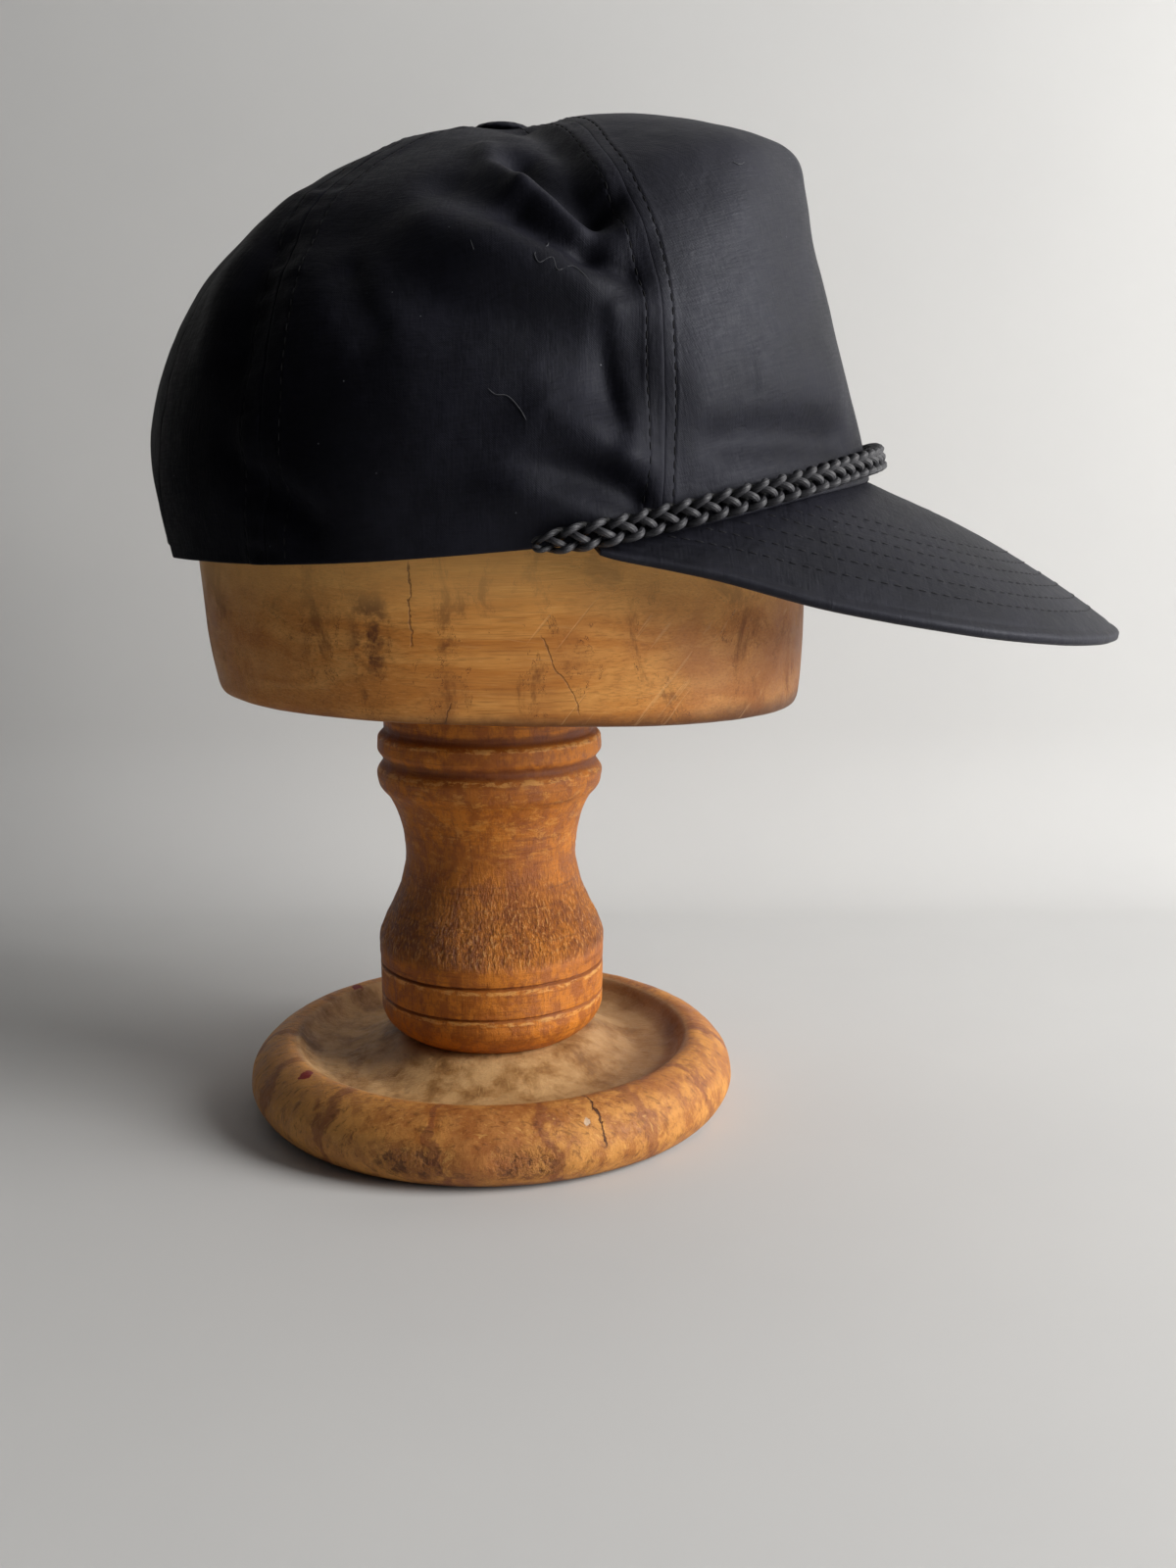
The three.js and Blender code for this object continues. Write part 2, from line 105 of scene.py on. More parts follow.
CREASES = [
    # from azimuth, level, to azimuth, level, half widths to its left and right, depth
    [80, 0.66, 66.5, 0.505, 6.5, 3, 5],
    [84, 0.86, 66, 0.47, 6, 6, 1.8],
    [56.5, 0.86, 62, 0.55, 4, 5, -3],
    [90, 0.735, 79.5, 0.572, 3.5, 4.5, -1.3],
    [79.5, 0.572, 70, 0.485, 3, 4, -1.8],
    [81, 0.53, 69, 0.43, 3.6, 5, 2.2],
    [69, 0.43, 62.5, 0.375, 3.2, 5, 2],
    [84, 0.49, 66, 0.36, 4, 10, -1.4],
    [99, 0.42, 74, 0.335, 6, 9, 1.4],
    [66.3, 0.32, 64.6, 0.17, 4, 2.4, -1.7],
    [78, 0.215, 69, 0.165, 5, 5, -1.2],
    [80, 0.162, 66.5, 0.12, 7, 5, -3.6],
    [66.5, 0.115, 62, 0.07, 5, 3, -1.8],
    [82, 0.1, 70, 0.045, 3.5, 6, -1.2],
    [116, 0.46, 108, 0.36, 4, 6, 1.6],
    [134, 0.2, 122, 0.1, 3, 5, 1.6],
    [50, 0.158, 22, 0.12, 16, 6.5, -2.2],
    [49, 0.107, 22, 0.066, 6.5, 4.5, 2],
    [42.3, 0.215, 42, 0.165, 2.2, 2.2, 0.7],
    [0, 0.42, 0, 0.2, 22, 22, 1.2],
    [12, 0.52, -12, 0.52, 6, 6, -0.8],
    [-72, 0.62, -64, 0.5, 4, 5, 2.6],
    [-82, 0.5, -66, 0.38, 4, 5, 2],
    [-80, 0.15, -66, 0.1, 4, 5, -1.8],
    [-120, 0.46, -112, 0.34, 5, 6, 1.5],
]

ARCH_HALF_ANGLE = 24
ARCH_LEVEL = 0.28

# Sewing: the raised seam allowance, its stitch row and the stitches themselves.
SEWING = {
    # stitch row's distance from the seam, depth of the line between the panels, puckers
    "front": (2.8, 0.06, 0.05),
    "side_front": (4.2, 0.06, 0.1),
    "side_back": (5.8, 0.28, 0.45),
    "back_side": (5.8, 0.28, 0.8),
    "back_middle": (5.8, 0.28, 0.15),
}
ALLOWANCE_EDGE = 1.1  # past the row
ALLOWANCE_RISE = 0.2
ALLOWANCE_FALL = 0.6  # length over which its edge falls away
SEAM_RIDGE = 0.06  # rise of the cloth where it is turned in beside a seam
RIDGE_PLACE = 0.9
LINE_HALF_WIDTH = 0.25
ROW_DEPTH = 0.2  # how far a stitch row is drawn into the cloth
ROW_HALF_WIDTH = 0.35
PUCKER_PLACE = 3.4
PUCKER_REACH = 3.2
PUCKER_SIZE = 3.6
STITCH_LENGTH = 2.6
STITCH_PITCH = 3.3
FIRST_STITCH = 0.8
STITCH_POINTS = 6
THREAD_RADIUS = 0.17
SEAM_MARKS = [0, 0.15, 0.35, 0.6, 1, 1.7]  # columns of points beside a seam
ROW_MARKS = [-1.3, -0.7, -0.35, -0.15, 0, 0.15, 0.35, 0.7, 1.1, 1.6, 2.4]  # about a stitch row
RIM_ROLL = 0.7
CLOTH_WAVES = [(0.35, 14, 1), (0.12, 5, 2)]  # height, size and seed of the cloth's unevenness

PEAK_HALF_ANGLE = 71
PEAK_THICKNESS = 3
PEAK_SIDE_THICKNESS = 1.2
PEAK_INSET = 2.2
PEAK_CROWN = 3.9
PEAK_CORNER_DROP = 0.7  # its root lies lower towards the two corners
PEAK_DRAWN_UP = 0.9  # the cloth at the root is drawn up against the rim it is sewn to
PEAK_DRAWN_REACH = 7
PEAK_EDGE = [
    # forward, sideways, height
    [30, 83.4, 168.8],
    [54, 85, 164.6],
    [86, 86, 156.3],
    [122, 80, 149.8],
    [150, 64, 146],
    [171, 37, 143.8],
    [180.5, 0, 143.2],
]
PEAK_ROWS = [11, 16.5, 22, 27.5, 33, 38.5]  # distance of each stitch row from the edge
PEAK_ROW_DEPTH = 0.09
PEAK_WELT = 3.4  # distance from the edge of the hollow inside its rolled welt
PEAK_WELT_DEPTH = 0.2
PEAK_WAVES = [(0.1, 7, 3), (0.06, 2.6, 4)]
PEAK_UNDER_WAVES = [(0.05, 6, 6)]
PEAK_SPREAD = 0.94  # nearer to 1, the columns of points crowd more to the two corners

ROPE_WIDTH = 7
ROPE_THICKNESS = 5.4
ROPE_PERIOD = 22.8  # length over which one strand crosses the braid and comes back
ROPE_AZIMUTHS = [0, 20, 40, 60, 72, 81]
ROPE_HEIGHTS = [190.8, 188.2, 183, 176.6, 173.1, 170.8]

# ---- sizes of the stand

BLOCK_POWER = 2.35
BLOCK_SLOPE = 0.025  # the underside rises towards the back
BLOCK_SLOPE_TOP = 150
BLOCK_HEART = [0, -5, 185]
BLOCK_WAVES = [(0.25, 22, 11), (0.08, 6, 12)]
BLOCK_RINGS = [
    # height, half length, half width, forward
    [125.8, 80.2, 70.8, 6.9],
    [126.6, 81.6, 72.2, 6.8],
    [128.5, 82.3, 73, 6.7],
    [150, 84.3, 75, 5.8],
    [192, 85.4, 75, 4.8],
    [208, 84.3, 74, 5.2],
    [222, 79.5, 70.5, 5.2],
    [236, 70.5, 63.5, 4.8],
    [248, 58.5, 53.5, 4.2],
    [258, 45, 42, 3.5],
    [266, 30, 28.5, 2.6],
    [271, 15.5, 15, 1.8],
    [273.6, 1.5, 1.5, 1],
]
COLUMN_PROFILE = [
    # radius, height
    [26.5, 22.5],
    [29, 24.2],
    [32, 27.5],
    [33.2, 31],
    [33.2, 34],
    [32.4, 34.6],
    [33.2, 35.2],
    [33.3, 43.4],
    [32.4, 44],
    [33.3, 44.6],
    [33.5, 51],
    [32, 56],
    [29.6, 61],
    [26.4, 69],
    [25.1, 76.5],
    [25.6, 82.5],
    [27, 88.5],
    [29.3, 93.8],
    [32.3, 97.8],
    [32.9, 101.5],
    [31.2, 105.2],
    [32.8, 108.2],
    [32.6, 111.6],
    [30.8, 114.2],
    [30.8, 124.7],
]
COLUMN_TEARS = 0.4  # depth of the grain that is torn between two heights
TORN_FOOT = 50
TORN_TOP = 70
COLUMN_WAVES = [(0.12, 9, 24)]
COLUMN_LATHE_MARKS = [(0.07, 1.2, 23)]
BASE_PROFILE = [
    # radius, height
    [65, 0],
    [68, 1.3],
    [70.8, 4.2],
    [72.4, 8.3],
    [71.9, 12.4],
    [69.1, 16.8],
    [65, 19.9],
    [61.3, 21],
    [58.6, 20.4],
    [56, 17.4],
    [51.5, 15.4],
    [45, 15.4],
    [36, 18.6],
    [29.5, 21.8],
    [26, 22.2],
]
BASE_TEARS = 0.8
BASE_WAVES = [(0.22, 16, 31), (0.1, 4, 32)]


# ---- curves and noise


def smooth(knots, values, at, flat=False):
    """Smooth curve through values at rising knots, the same rule as in the part's source.

    values may carry leading axes that match `at`; flat makes the two end slopes zero.
    """
    knots = np.asarray(knots, float)
    values = np.asarray(values, float)
    at = np.asarray(at, float)
    span = np.diff(knots)
    step = np.diff(values, axis=-1) / span
    slope = np.zeros_like(values)
    slope[..., 1:-1] = (step[..., :-1] * span[1:] + step[..., 1:] * span[:-1]) / (
        span[1:] + span[:-1]
    )
    if not flat:
        slope[..., 0] = step[..., 0]
        slope[..., -1] = step[..., -1]
    k = stretch_of(knots, at)
    values = np.broadcast_to(values, at.shape + knots.shape)
    slope = np.broadcast_to(slope, values.shape)

    def pick(array, index):
        return np.take_along_axis(array, index[..., None], -1)[..., 0]

    s = np.clip((at - knots[k]) / span[k], 0, 1)
    return hermite(
        s, pick(values, k), pick(values, k + 1),
        span[k] * pick(slope, k), span[k] * pick(slope, k + 1),
    )


def stretch_of(knots, at):
    """Index of the stretch between rising knots that holds each value."""
    return np.clip(np.searchsorted(knots, at, side="right") - 1, 0, len(knots) - 2)


def hermite(s, start, end, leaving, arriving):
    """Cubic from start to end at share s, with its slopes at the two ends."""
    s2, s3 = s * s, s * s * s
    return (
        (2 * s3 - 3 * s2 + 1) * start
        + (s3 - 2 * s2 + s) * leaving
        + (3 * s2 - 2 * s3) * end
        + (s3 - s2) * arriving
    )


def ease(value, low, high):
    """0 below low and 1 above high, with a smooth rise between them."""
    share = np.clip((value - low) / (high - low), 0, 1)
    return share * share * (3 - 2 * share)


def lattice(cells, seed):
    """A repeatable value in -1..1 for each whole-number cell."""
    mask = 0xFFFFFFFF
    mixed = (cells[..., 0] * 374761393 + cells[..., 1] * 668265263) & mask
    mixed = (mixed + cells[..., 2] * 1440670441 + seed * 974634777) & mask
    mixed = ((mixed ^ (mixed >> 13)) * 1274126177) & mask
    return ((mixed ^ (mixed >> 16)) & 0xFFFF) / 32767.5 - 1


def noise(points, size, seed=0):
    """Smooth noise in about -1..1 whose lumps measure `size`, a number or one for each axis."""
    p = np.asarray(points, float) / size
    cell = np.floor(p).astype(np.int64)
    f = p - cell
    f = f * f * (3 - 2 * f)
    total = 0
    for corner in np.ndindex(2, 2, 2):
        weight = np.prod(np.where(corner, f, 1 - f), axis=-1)
        total = total + weight * lattice(cell + np.array(corner), seed)
    return total


def uneven(points, waves):
    """Sum of noises, each given by its height, size and seed."""
    return sum(height * noise(points, size, seed) for height, size, seed in waves)


def bell(distance, half_width):
    """1 at no distance, falling smoothly to about a third at the half width."""
    return np.exp(-((distance / half_width) ** 2))


def together(*values):
    """Numbers and arrays as arrays of one shape."""
    return np.broadcast_arrays(*(np.asarray(value, float) for value in values))


def unit(vectors):
    return vectors / np.maximum(np.linalg.norm(vectors, axis=-1, keepdims=True), 1e-9)


# ---- the crown's surface

PROFILE_KNOTS = [*CROWN_LEVELS, 2 - CROWN_LEVELS[-2]]


def plain_crown(azimuth, level):
    """Points of the crown without its folds."""
    azimuth, level = together(azimuth, level)
    side = np.abs(azimuth)

    def rows(table):
        return [smooth(CROWN_AZIMUTHS, row, side, True) for row in table]

    radii = rows(CROWN_RADII)
    heights = rows(CROWN_HEIGHTS)
    radii = np.stack([*radii, np.zeros_like(side), -radii[-1]], -1)
    heights = np.stack([*heights, np.full_like(side, APEX_HEIGHT), heights[-1]], -1)
    radius = smooth(PROFILE_KNOTS, radii, level)
    height = smooth(PROFILE_KNOTS, heights, level)
    angle = np.radians(azimuth)
    forward = APEX_FORWARD + APEX_LEAN * ease(level, LEAN_START, 1)
    return np.stack(
        [-radius * np.sin(angle), -(forward + radius * np.cos(angle)), height], -1
    )


def crown_normal(azimuth, level):
    step = 0.004
    up = plain_crown(azimuth, np.minimum(level + step, 1)) - plain_crown(
        azimuth, np.maximum(level - step, 0)
    )
    along = plain_crown(azimuth + 1, level) - plain_crown(azimuth - 1, level)
    normal = unit(np.cross(up, along))
    angle = np.radians(azimuth)
    outward = np.stack([-np.sin(angle), -np.cos(angle), np.full_like(angle, 0.5)], -1)
    return normal * np.sign((normal * outward).sum(-1, keepdims=True))


def distance_to_line(points, line):
    """Distance from each point to a line of straight stretches."""
    best = np.full(points.shape[:-1], np.inf)
    for a, b in zip(line[:-1], line[1:]):
        along = b - a
        share = np.clip((points - a) @ along / (along @ along), 0, 1)
        best = np.minimum(best, np.linalg.norm(points - a - share[..., None] * along, axis=-1))
    return best


def fold_depth(points):
    """How far the folds and creases push the cloth in at points of the plain crown.

    A row with two half widths is steeper on one side of its line than on the other.
    """
    total = np.zeros(points.shape[:-1])
    for azimuth, level, azimuth_to, level_to, *widths, depth in FOLDS + CREASES:
        line = plain_crown(np.linspace(azimuth, azimuth_to, 9), np.linspace(level, level_to, 9))
        leftward = unit(np.cross(line[4] * FLAT, line[-1] - line[0]))
        distance = distance_to_line(points, line)
        share = np.clip((points - line[4]) @ leftward / np.maximum(distance, 1e-6), -1, 1)
        left, right = widths[0], widths[-1]
        half_width = (left + right) / 2 + share * (left - right) / 2
        total += depth * bell(distance, half_width)
    return total


def crown_point(azimuth, level, inward):
    """Points of the folded crown, moved inward from its outer face."""
    azimuth, level = together(azimuth, level)
    point = plain_crown(azimuth, level)
    depth = fold_depth(point) + inward
    return point - crown_normal(azimuth, level) * np.asarray(depth)[..., None]


def level_at(azimuth, height):
    """Level where the crown's wall reaches a height."""
    low = np.zeros_like(azimuth)
    high = np.full_like(azimuth, 0.6)
    for _ in range(30):
        middle = (low + high) / 2
        below = plain_crown(azimuth, middle)[..., 2] < height
        low = np.where(below, middle, low)
        high = np.where(below, high, middle)
    return low


# ---- meshes


def mesh_object(name, points, faces, material, fields=None):
    """A smooth mesh from points in millimetres.

    fields holds extra vectors for its material, one for each point, by attribute name.
    """
    mesh = bpy.data.meshes.new(name)
    mesh.from_pydata((np.asarray(points) * MM).tolist(), [], faces)
    for field, values in (fields or {}).items():
        attribute = mesh.attributes.new(field, "FLOAT_VECTOR", "POINT")
        attribute.data.foreach_set("vector", np.asarray(values, np.float32).ravel())
    mesh.polygons.foreach_set("use_smooth", [True] * len(mesh.polygons))
    mesh.validate()
    mesh.materials.append(material)
    made = bpy.data.objects.new(name, mesh)
    bpy.context.scene.collection.objects.link(made)
    return made


def piece(name, points, faces, material, replaced=(), fields=None):
    """A mesh that rides on the part."""
    made = mesh_object(name, points, faces, material, fields)
    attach(made, "root")
    if replaced:
        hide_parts(*replaced)


def grid_faces(rows, columns, first=0, wrap=False, flip=False):
    """Quads between neighbouring points of a grid; wrap joins the last column to the first."""
    i, j = np.mgrid[0 : rows - 1, 0 : columns if wrap else columns - 1]
    a = first + i * columns + j
    b = first + i * columns + (j + 1) % columns
    quads = np.stack([a, b, b + columns, a + columns], -1).reshape(-1, 4)
    return (quads[:, ::-1] if flip else quads).tolist()


def border(rows, columns):
    """Indices of a grid's outer points in order."""
    top = [*range(columns)]
    right = [i * columns + columns - 1 for i in range(1, rows)]
    bottom = [(rows - 1) * columns + j for j in range(columns - 2, -1, -1)]
    left = [i * columns for i in range(rows - 2, 0, -1)]
    return top + right + bottom + left


def shell(outer, inner):
    """Points and faces of a closed wall between two grids of the same size."""
    rows, columns = outer.shape[:2]
    count = rows * columns
    edge = border(rows, columns)
    faces = grid_faces(rows, columns) + grid_faces(rows, columns, count, flip=True)
    for a, b in zip(edge, edge[1:] + edge[:1]):
        faces.append((b, a, a + count, b + count))
    return np.concatenate([outer.reshape(-1, 3), inner.reshape(-1, 3)]), faces


def outward_faces(points, faces):
    """The same faces, turned round if they enclose a negative volume."""
    points = np.asarray(points)
    corners = np.array([[*face[:3], face[-1]] for face in faces])
    a, b, c, d = (points[corners[:, i]] for i in range(4))
    volume = (a * (np.cross(b, c) + np.cross(c, d))).sum()
    return faces if volume > 0 else [face[::-1] for face in faces]


def tubes(paths, across, thick, sides=6):
    """Closed tubes along several paths, as one list of points and faces.

    Each path has its points, the direction that its thickness is measured in, and its size
    at each point.
    """
    points, faces = [], []
    first = 0
    angles = np.arange(sides) * 2 * math.pi / sides
    for line, away, size in paths:
        forward = unit(np.gradient(line, axis=0))
        side = unit(np.cross(forward, away))
        up = unit(np.cross(side, forward))
        ring = (
            side[:, None] * (np.cos(angles)[None, :, None] * across)
            + up[:, None] * (np.sin(angles)[None, :, None] * thick)
        ) * size[:, None, None]
        points += [(line[:, None] + ring).reshape(-1, 3), line[[0, -1]]]
        faces += grid_faces(len(line), sides, first, wrap=True)
        last = first + (len(line) - 1) * sides
        ends = last + sides
        for j in range(sides):
            k = (j + 1) % sides
            faces += [(ends, first + k, first + j), (ends + 1, last + j, last + k)]
        first = ends + 2
    return np.concatenate(points), faces


def rounded_ends(count):
    """Sizes along a tube that narrows at both ends."""
    return np.sqrt(np.clip(1 - np.linspace(-1, 1, count) ** 8, 0.04, 1))


def placed(at, length, values):
    """Vectors interpolated at distances along a line of measured length."""
    return np.stack([np.interp(at, length, values[:, i]) for i in range(3)], -1)


def measure(line):
    """Distance along a line to each of its points."""
    return np.r_[0, np.cumsum(np.linalg.norm(np.diff(line, axis=0), axis=1))]


def stitches(runs):
    """Tubes of short stitches along lines on the cloth, each sunk at both ends.

    Each run has its line and the direction away from the cloth at the line's points.
    """
    paths = []
    share = np.linspace(-1, 1, STITCH_POINTS)
    rise = THREAD_RADIUS * (0.5 - 2.6 * share**4)
    for line, away in runs:
        length = measure(line)
        for at in np.arange(FIRST_STITCH, length[-1] - STITCH_PITCH, STITCH_PITCH):
            where = at + np.linspace(0, STITCH_LENGTH, STITCH_POINTS)
            normal = unit(placed(where, length, away))
            path = placed(where, length, line) + normal * rise[:, None]
            paths.append((path, normal, rounded_ends(STITCH_POINTS)))
    return tubes(paths, THREAD_RADIUS, THREAD_RADIUS)


def rolled(distance, radius):
    """How far a face is drawn in beside an edge that is rounded by a radius."""
    return radius * (1 - np.sqrt(1 - np.clip(1 - distance / radius, 0, 1) ** 2))


def cloth_piece(name, outer, inner, weave, material):
    """A closed wall of cloth, with places across and along its threads and its wear."""
    points, faces = shell(outer, inner)
    weave = np.stack(weave, -1).reshape(-1, 3)
    fields = {"weave": np.concatenate([weave, weave])}
    piece(name, points, outward_faces(points, faces), material, [name], fields)


def row_line(outer, normal, distance, row):
    """Line at a distance from a seam or an edge, with the cloth's direction there."""
    line, away = [], []
    for points, normals, d in zip(outer, normal, distance):
        if d.max() < row + 0.5:
            continue
        order = np.argsort(d)
        line.append(placed(row, d[order], points[order]))
        away.append(placed(row, d[order], normals[order]))
    return np.array(line), unit(np.array(away))


# ---- materials


class Graph:
    """A material and short calls that add nodes to it."""

    def __init__(self, name):
        self.material = bpy.data.materials.new(name)
        self.material.use_nodes = True
        self.nodes = self.material.node_tree.nodes
        self.links = self.material.node_tree.links
        self.nodes.clear()

    def node(self, kind, inputs, **settings):
        made = self.nodes.new("ShaderNode" + kind)
        for key, value in settings.items():
            setattr(made, key, value)
        for key, value in inputs.items():
            if isinstance(value, bpy.types.NodeSocket):
                self.links.new(value, made.inputs[key])
            else:
                made.inputs[key].default_value = value
        return made

    def math(self, operation, a, b=0.0):
        return self.node("Math", {0: a, 1: b}, operation=operation).outputs[0]

    def plus(self, a, b):
        return self.math("ADD", a, b)

    def minus(self, a, b):
        return self.math("SUBTRACT", a, b)

    def times(self, *factors):
        return functools.reduce(lambda a, b: self.math("MULTIPLY", a, b), factors)

    def highest(self, *values):
        return functools.reduce(lambda a, b: self.math("MAXIMUM", a, b), values)

    def place(self):
        """Position on the object in millimetres."""
        raw = self.node("TexCoord", {}).outputs["Object"]
        return self.node("VectorMath", {0: raw, "Scale": 1 / MM}, operation="SCALE").outputs[0]

    def field(self, name):
        return self.node("Attribute", {}, attribute_name=name).outputs["Vector"]

    def split(self, vector):
        return self.node("SeparateXYZ", {0: vector}).outputs

    def stretch(self, vector, by):
        return self.node("VectorMath", {0: vector, 1: by}, operation="MULTIPLY").outputs[0]

    def noise(self, vector, size, detail, roughness=0.55, distortion=0.0):
        """Noise whose lumps measure about `size` millimetres."""
        inputs = {
            "Vector": vector,
            "Scale": 1 / size,
            "Detail": detail,
            "Roughness": roughness,
            "Distortion": distortion,
        }
        return self.node("TexNoise", inputs).outputs[0]

    def band(self, value, low, high, to_low=0.0, to_high=1.0):
        """value from low..high to to_low..to_high, clamped, with soft ends."""
        inputs = {0: value, 1: low, 2: high, 3: to_low, 4: to_high}
        return self.node("MapRange", inputs, interpolation_type="SMOOTHSTEP").outputs[0]

    def mix(self, factor, a, b):
        """Blend of two colours, each from the graph or as screen values."""
        a, b = (linear_colour(c) if isinstance(c, tuple) else c for c in (a, b))
        made = self.node("Mix", {0: factor, 6: a, 7: b}, data_type="RGBA", clamp_factor=True)
        return made.outputs[2]

    def layers(self, base, marks):
        """A base colour with marks over it, each given by its mask and its colour."""
        for mask, mark in marks:
            base = self.mix(mask, base, mark)
        return base

    def bump(self, height, distance, strength=1.0, normal=None):
        inputs = {"Height": height, "Distance": distance * MM, "Strength": strength}
        if normal is not None:
            inputs["Normal"] = normal
        return self.node("Bump", inputs).outputs[0]

    def finish(self, **inputs):
        """Adds the shader and the output. Underscores in names stand for spaces."""
        named = {key.replace("_", " "): value for key, value in inputs.items()}
        shader = self.node("BsdfPrincipled", named)
        self.node("OutputMaterial", {"Surface": shader.outputs[0]})
        return self.material


def linear_colour(screen):
    """Linear colour from screen values of 0 to 255."""

    def linear(value):
        value /= 255
        return value / 12.92 if value < 0.04045 else ((value + 0.055) / 1.055) ** 2.4

    return (*map(linear, screen), 1.0)


POPLIN_DARK = (13, 13, 19)
POPLIN_LIGHT = (23, 23, 31)
POPLIN_WORN = (40, 40, 48)
POPLIN_LINT = (120, 122, 128)
# painted shade towards the rear, where the cloth faces away from the lamp
POPLIN_REAR_SHADE = (4, 4, 6)
POPLIN_TINT = (0.84, 0.87, 1, 1)  # of its gloss
WEAVE_PITCH = 0.5
LINT_PITCH = 8
REAR_SHADE = (5, 60)  # painted shade: the cloth is painted darker and duller between these places behind the middle, on the side away from the lamp
TOP = (225, 275)  # and more worn between these heights
DULL_HEIGHT = 195  # its gloss is lowest here
DULL_REACH = 32


def poplin(name, roughness, gloss, low_gloss):
    """Closely woven cotton: fine threads with uneven slubs, faint fading, specks of lint and
    painted shade towards the rear.

    low_gloss is the share of the gloss that is left at the dullest height.
    """
    g = Graph(name)
    weave = g.field("weave")
    place = g.place()
    across, along, worn = g.split(weave)
    height = g.split(place)[2]
    # painted shade: 0 at the front, rising to 1 towards the rear
    rear = g.band(g.split(place)[1], *REAR_SHADE)
    turn = 2 * math.pi / WEAVE_PITCH
    cross = g.times(g.math("SINE", g.times(across, turn)), g.math("SINE", g.times(along, turn)))
    slub_weft = g.noise(g.stretch(weave, (0.16, 1.6, 0)), 1, 3)
    slub_warp = g.noise(g.stretch(weave, (1.6, 0.16, 0)), 1, 3)
    slubs = g.times(g.plus(slub_weft, slub_warp), 0.5)
    crumple = g.noise(place, 3.5, 5, 0.6, 0.4)
    fade = g.noise(place, 24, 5, 0.6)
    tone = g.plus(g.times(fade, 0.5), g.times(slubs, 0.5))
    lint = g.node("TexVoronoi", {"Vector": place, "Scale": 1 / LINT_PITCH}).outputs["Distance"]
    base = g.mix(g.band(tone, 0.4, 0.6), POPLIN_DARK, POPLIN_LIGHT)
    base = g.layers(base, [
        (g.times(worn, 0.6), POPLIN_WORN),
        (g.band(lint, 0.015, 0.03, 0.7, 0), POPLIN_LINT),
        (g.times(rear, 0.6), POPLIN_REAR_SHADE),
        (g.band(height, *TOP, 0, 0.4), POPLIN_WORN),
    ])
    threads = g.plus(g.times(cross, 0.2), g.times(slubs, 2.4))
    normal = g.bump(threads, 0.07, 1, g.bump(crumple, 0.5, 0.5))
    from_dullest = g.math("ABSOLUTE", g.minus(height, DULL_HEIGHT))
    dull = g.band(from_dullest, 0, DULL_REACH, low_gloss, 1)
    return g.finish(
        Base_Color=base,
        Roughness=g.band(slubs, 0.35, 0.65, roughness - 0.06, roughness + 0.06),
        Normal=normal,
        Specular_IOR_Level=g.times(g.band(rear, 0, 1, gloss, gloss * 0.35), dull),
        Specular_Tint=POPLIN_TINT,
    )


def thread(name, dark, light, gloss):
    """Sewing thread."""
    g = Graph(name)
    tone = g.noise(g.place(), 0.5, 2)
    return g.finish(
        Base_Color=g.mix(tone, dark, light),
        Roughness=0.7,
        Normal=g.bump(tone, 0.05),
        Specular_IOR_Level=gloss,
    )


def loose_thread():
    g = Graph("loose_thread")
    base = g.mix(g.noise(g.place(), 1.5, 2), (40, 41, 46), (78, 79, 84))
    return g.finish(Base_Color=base, Roughness=0.8)


def braid():
    """Filament yarn with a little sheen, with painted shade where a strand passes under the
    others.
    """
    g = Graph("braid")
    weave = g.field("weave")
    around, along, over = g.split(weave)
    lines = g.noise(g.stretch(weave, (1, 0.12, 0)), 0.16, 2)
    ply = g.math("SINE", g.plus(g.times(around, 9), g.times(along, 3.2)))
    base = g.mix(lines, (30, 30, 34), (72, 72, 77))
    return g.finish(
        # painted shade where a strand passes under the others
        Base_Color=g.mix(g.band(over, 0.25, -0.5), base, (7, 7, 9)),
        Roughness=g.band(lines, 0.3, 0.7, 0.48, 0.6),
        Normal=g.bump(g.plus(lines, g.times(ply, 0.3)), 0.12),
        Specular_IOR_Level=0.5,
    )


class Wood(Graph):
    """Adds the marks that the three wooden pieces share."""

    def noises(self, place, rows):
        """Noises from rows of stretch, size, detail, roughness and distortion."""
        return [
            self.noise(self.stretch(place, stretch) if stretch else place, *rest)
            for stretch, *rest in rows
        ]

    def sway(self, noise, amount):
        """A noise made to swing about zero."""
        return self.times(self.minus(noise, 0.5), amount)

    def near(self, value, at, half_width, soft=0.5):
        """1 where value lies within half_width of a place, fading at its ends."""
        away = self.math("ABSOLUTE", self.minus(value, at))
        return self.band(away, half_width * (1 - soft), half_width, 1, 0)

    def spot(self, place, centre, radius, ragged):
        """A ragged round patch about a point on the surface."""
        away = self.node("VectorMath", {0: place, 1: centre}, operation="DISTANCE")
        rough = self.sway(ragged, radius * 3)
        return self.band(self.plus(away.outputs["Value"], rough), radius * 0.8, radius, 1, 0)

    def scratches(self, place, turn, size, rarity):
        """Thin straight scratches across the side, at an angle from level."""
        rotated = self.node(
            "VectorRotate", {"Vector": place, "Angle": turn}, rotation_type="X_AXIS"
        ).outputs[0]
        lines = self.noise(self.stretch(rotated, (0.3, 0.03, 1)), size, 3, 0.6)
        return self.band(lines, rarity, rarity + 0.05)


BLOCK_NOISES = [
    # stretch along each axis, size, detail, roughness, distortion
    ((1, 0.04, 1), 0.5, 5, 0.7, 0.1),  # fine level grain
    ((0.6, 0.1, 1), 6, 5, 0.65, 0.8),  # broad level grain
    ((1, 1.25, 0.7), 15, 8, 0.7, 0.5),  # stains
    (None, 38, 4, 0.6),  # clouds
    (None, 5, 6, 0.7),  # ragged edges
    (None, 0.9, 4, 0.75),  # specks
    (None, 7, 5, 0.65),  # the cracks' wandering
]
BLOCK_CRACKS = [
    # place along the block, slant, lower end, upper end
    (16, 0.03, 145, 167),
    (-26, 0.5, 128, 149),
    (8, -0.3, 125, 132),
]
BLOCK_CRACK_HALF_WIDTH = 0.26


